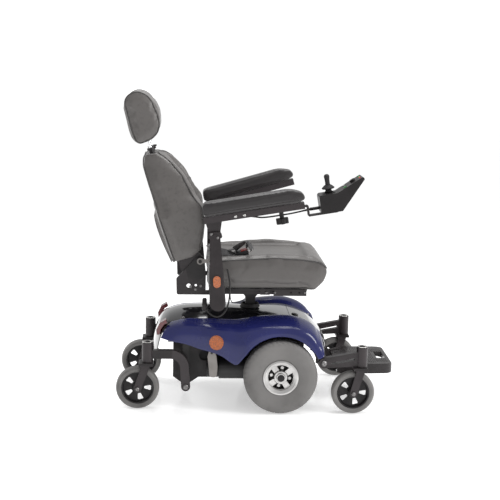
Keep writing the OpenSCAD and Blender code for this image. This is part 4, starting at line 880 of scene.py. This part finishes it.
def make_belt():
    web = MATERIALS["belt_web"]
    keys = [(-292, 640), (-262, 643), (-226, 642), (-194, 634)]
    short = [at(x, BUCKLE[1], z) for x, z in catmull(keys, 4)]
    strap = ribbon("belt_short", short, 0.046, "seat", web, across=(0, 0.5, 0.85), then=(0, 1, 0.15))
    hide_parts("belt_straps")
    keys = [(77, 12), (76, 26), (70, 42), (62, 52), (48, 50), (28, 43), (6, 34)]
    up = [in_buckle(x, 0.5, z) for x, z in catmull(keys, 5)]
    ribbon("belt_long", up, 0.044, "seat", web, across=(0.35, 1, 0), then=(0.8, 0.7, -0.2))
    loop = [in_buckle(62 + 5 * math.cos(a), 0.5 + 25 * math.sin(a), 40 + 9 * math.cos(a))
            for a in (2 * math.pi * k / 28 for k in range(28))]
    tube("belt_adjuster", loop, 0.0032, "seat", MATERIALS["buckle_black"], True)
    keys = [in_buckle(6, 0, 34), at(-206, -100, 650), at(-236, -50, 634), at(-258, 20, 626),
            at(-276, 90, 624.5), at(-286, 130, 625)]
    rest = [Vector(p) for p in catmull([tuple(p) for p in keys], 6)]
    ribbon("belt_across", rest, 0.042, "seat", web, across=(0.8, 0.7, 0.2), then=(1, 0.25, 0))
    tongue = [in_buckle(x, 0, z) for x, z in catmull([(60, 11.5), (70, 11.6), (77, 12.5), (78.5, 20)], 4)]
    ribbon("belt_tongue", tongue, 0.036, "seat", WASHER, 0.0024)


LOOP = [(-226, 124), (-219, 98), (-214, 60), (-214, 22), (-218, -14), (-228, -46), (-244, -66), (-264, -74),
        (-284, -68), (-300, -54), (-309, -38)]
BRANCH = [(-212, -ARM_Y + 9, 20), (-210, -ARM_Y + 13, 0), (-204, -ARM_Y + 30, -18), (-192, -200, -30),
          (-176, -150, -38), (-158, -90, -46), (-146, -36, -54), (POST_X - 23.4, -6, -56)]
LEAD = [(-20, 18, 18), (-34, 18, 18), (-48, 18, 17), (-84, 19, 14), (-120, 19, 12), (-160, 18, 12),
        (-200, 17, 12), (-236, 14, 15), (-262, 13, 22), (-290, 12, 30)]
PLUG = [(0, -28), (5, -28), (8.6, -24), (9.6, -20), (9.6, -6), (10.6, -5), (10.6, 4), (9.6, 5), (9.6, 20),
        (7, 25), (0, 26)]


def lead_path(keys):
    """Part of the controller's cable, given from the end of the right armrest's frame."""
    return [in_arm(-1, 432 + x, y, 26 + z) for x, y, z in catmull(keys, 8)]


def make_cables():
    skin = MATERIALS["cable_black"]
    path = [at(x, -ARM_Y, PAN_Z + z) for x, z in catmull(LOOP, 8)]
    loop = tube("cable_loop_sheath", path, 0.0034, "seat", skin, sides=12)
    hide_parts("cable_loop")
    path = [at(x, y, PAN_Z + z) for x, y, z in catmull(BRANCH, 8)]
    tube("cable_branch", path, 0.0020, "seat", skin, sides=10)
    revolved("cable_plug", PLUG, at(-315.5, -ARM_Y, PAN_Z - 22), UPRIGHT, "seat",
             MATERIALS["housing_black"], 32)
    cable = tube("controller_lead", lead_path(LEAD), 0.0033, "controller", skin, sides=12)
    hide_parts("controller_cable")
    sides = 12
    sleeve = lead_path(LEAD[:4])[6:22]
    relief = tube("lead_relief", sleeve, 0.0052, "controller", MATERIALS["boot_rubber"], sides=sides)
    for v in relief.data.vertices:
        ring = v.index // sides
        v.co = sleeve[ring] + (v.co - sleeve[ring]) * (1.15 - 0.035 * ring + (0.1 if ring % 3 == 0 else 0))


def make_charge_lamps():
    """A row of seven lamps across the controller's panel: red, orange, then green."""
    lamp = [(0, 0), (3.2, 0), (3.2, 0.6), (2.6, 1.2), (1.2, 1.6), (0, 1.7)]
    turn = facing(Vector((-math.sin(PANEL_TILT), 0, math.cos(PANEL_TILT))))
    slope = PANEL_TILT - ARM_TILT[-1]
    along, lift = 108, 0.2
    x = 506 + along * math.cos(slope) - lift * math.sin(slope)
    z = 101 + along * math.sin(slope) + lift * math.cos(slope)
    for k in range(7):
        stuff = MATERIALS["button_red" if k < 2 else "reflector_orange" if k < 4 else "button_green"]
        revolved(f"charge_lamp_{k}", lamp, in_arm(-1, x, 9 * k - 27, z), turn, "controller", stuff, 16)


def make_fittings():
    for side, word in SIDES.items():
        turn = OUTWARD[side]
        for k, (x, z) in enumerate([(92, 66), (128, 66)]):
            bolt(f"arm_bolt_{word}_{k}", in_arm(side, x, side * 20, z), turn, 4.6, f"arm_{word}", WASHER)
        for k, (x, z) in enumerate([(-14, 10), (9, -8)]):
            bolt(f"post_bolt_{word}_{k}", in_arm(side, x, side * 22.2, z), turn, 4.2, "seat")
        for k, (x, z) in enumerate([(-372, 512), (-352, 500), (-330, 515)]):
            bolt(f"bracket_bolt_{word}_{k}", at(x, side * 206.2, z), turn, 4.5, "seat")
        for k, x in enumerate((-60, -25, 100)):
            bolt(f"pan_bolt_{word}_{k}", at(x, side * 200.2, PAN_Z + 14), turn, 4, "seat")
        bolt(f"rear_pivot_bolt_{word}", at(-388, side * 232.2, 92), turn, 8, "base")
        bolt(f"front_pivot_bolt_{word}", at(176.5, side * 295.2, 212), turn, 9, "base")
    make_charge_lamps()


def make_footplate_mat():
    """Ribbed rubber tread strips set on the footplate, round the hand slot."""
    verts, faces = [], []

    def strip(x0, x1, y0, y1):
        base = len(verts)
        for x, y in ((x0, y0), (x1, y0), (x1, y1), (x0, y1)):
            verts.append(at(x, y, TREAD_LOW))
        for x, y in ((x0 + 1, y0 + 1), (x1 - 1, y0 + 1), (x1 - 1, y1 - 1), (x0 + 1, y1 - 1)):
            verts.append(at(x, y, TREAD_HIGH))
        faces.append(tuple(base + 4 + k for k in range(4)))
        for k in range(4):
            faces.append((base + k, base + (k + 1) % 4, base + 4 + (k + 1) % 4, base + 4 + k))

    for x in range(330, 424, 8):
        strip(x, x + 5, -118, 118)
    for side in (-1, 1):
        for x in range(428, 476, 8):
            low, high = sorted((side * 58, side * 104))
            strip(x, x + 5, low, high)
    piece("footplate_treads", verts, faces, "footplate", MATERIALS["footplate_plastic"], False)


make_camera()
make_stage()
dress_nodes()
make_covers()
make_deck_details()
make_wheels()
make_fork_details()
make_seat()
make_back()
make_headrest()
make_arm_pads()
make_belt()
make_cables()
make_fittings()
make_footplate_mat()
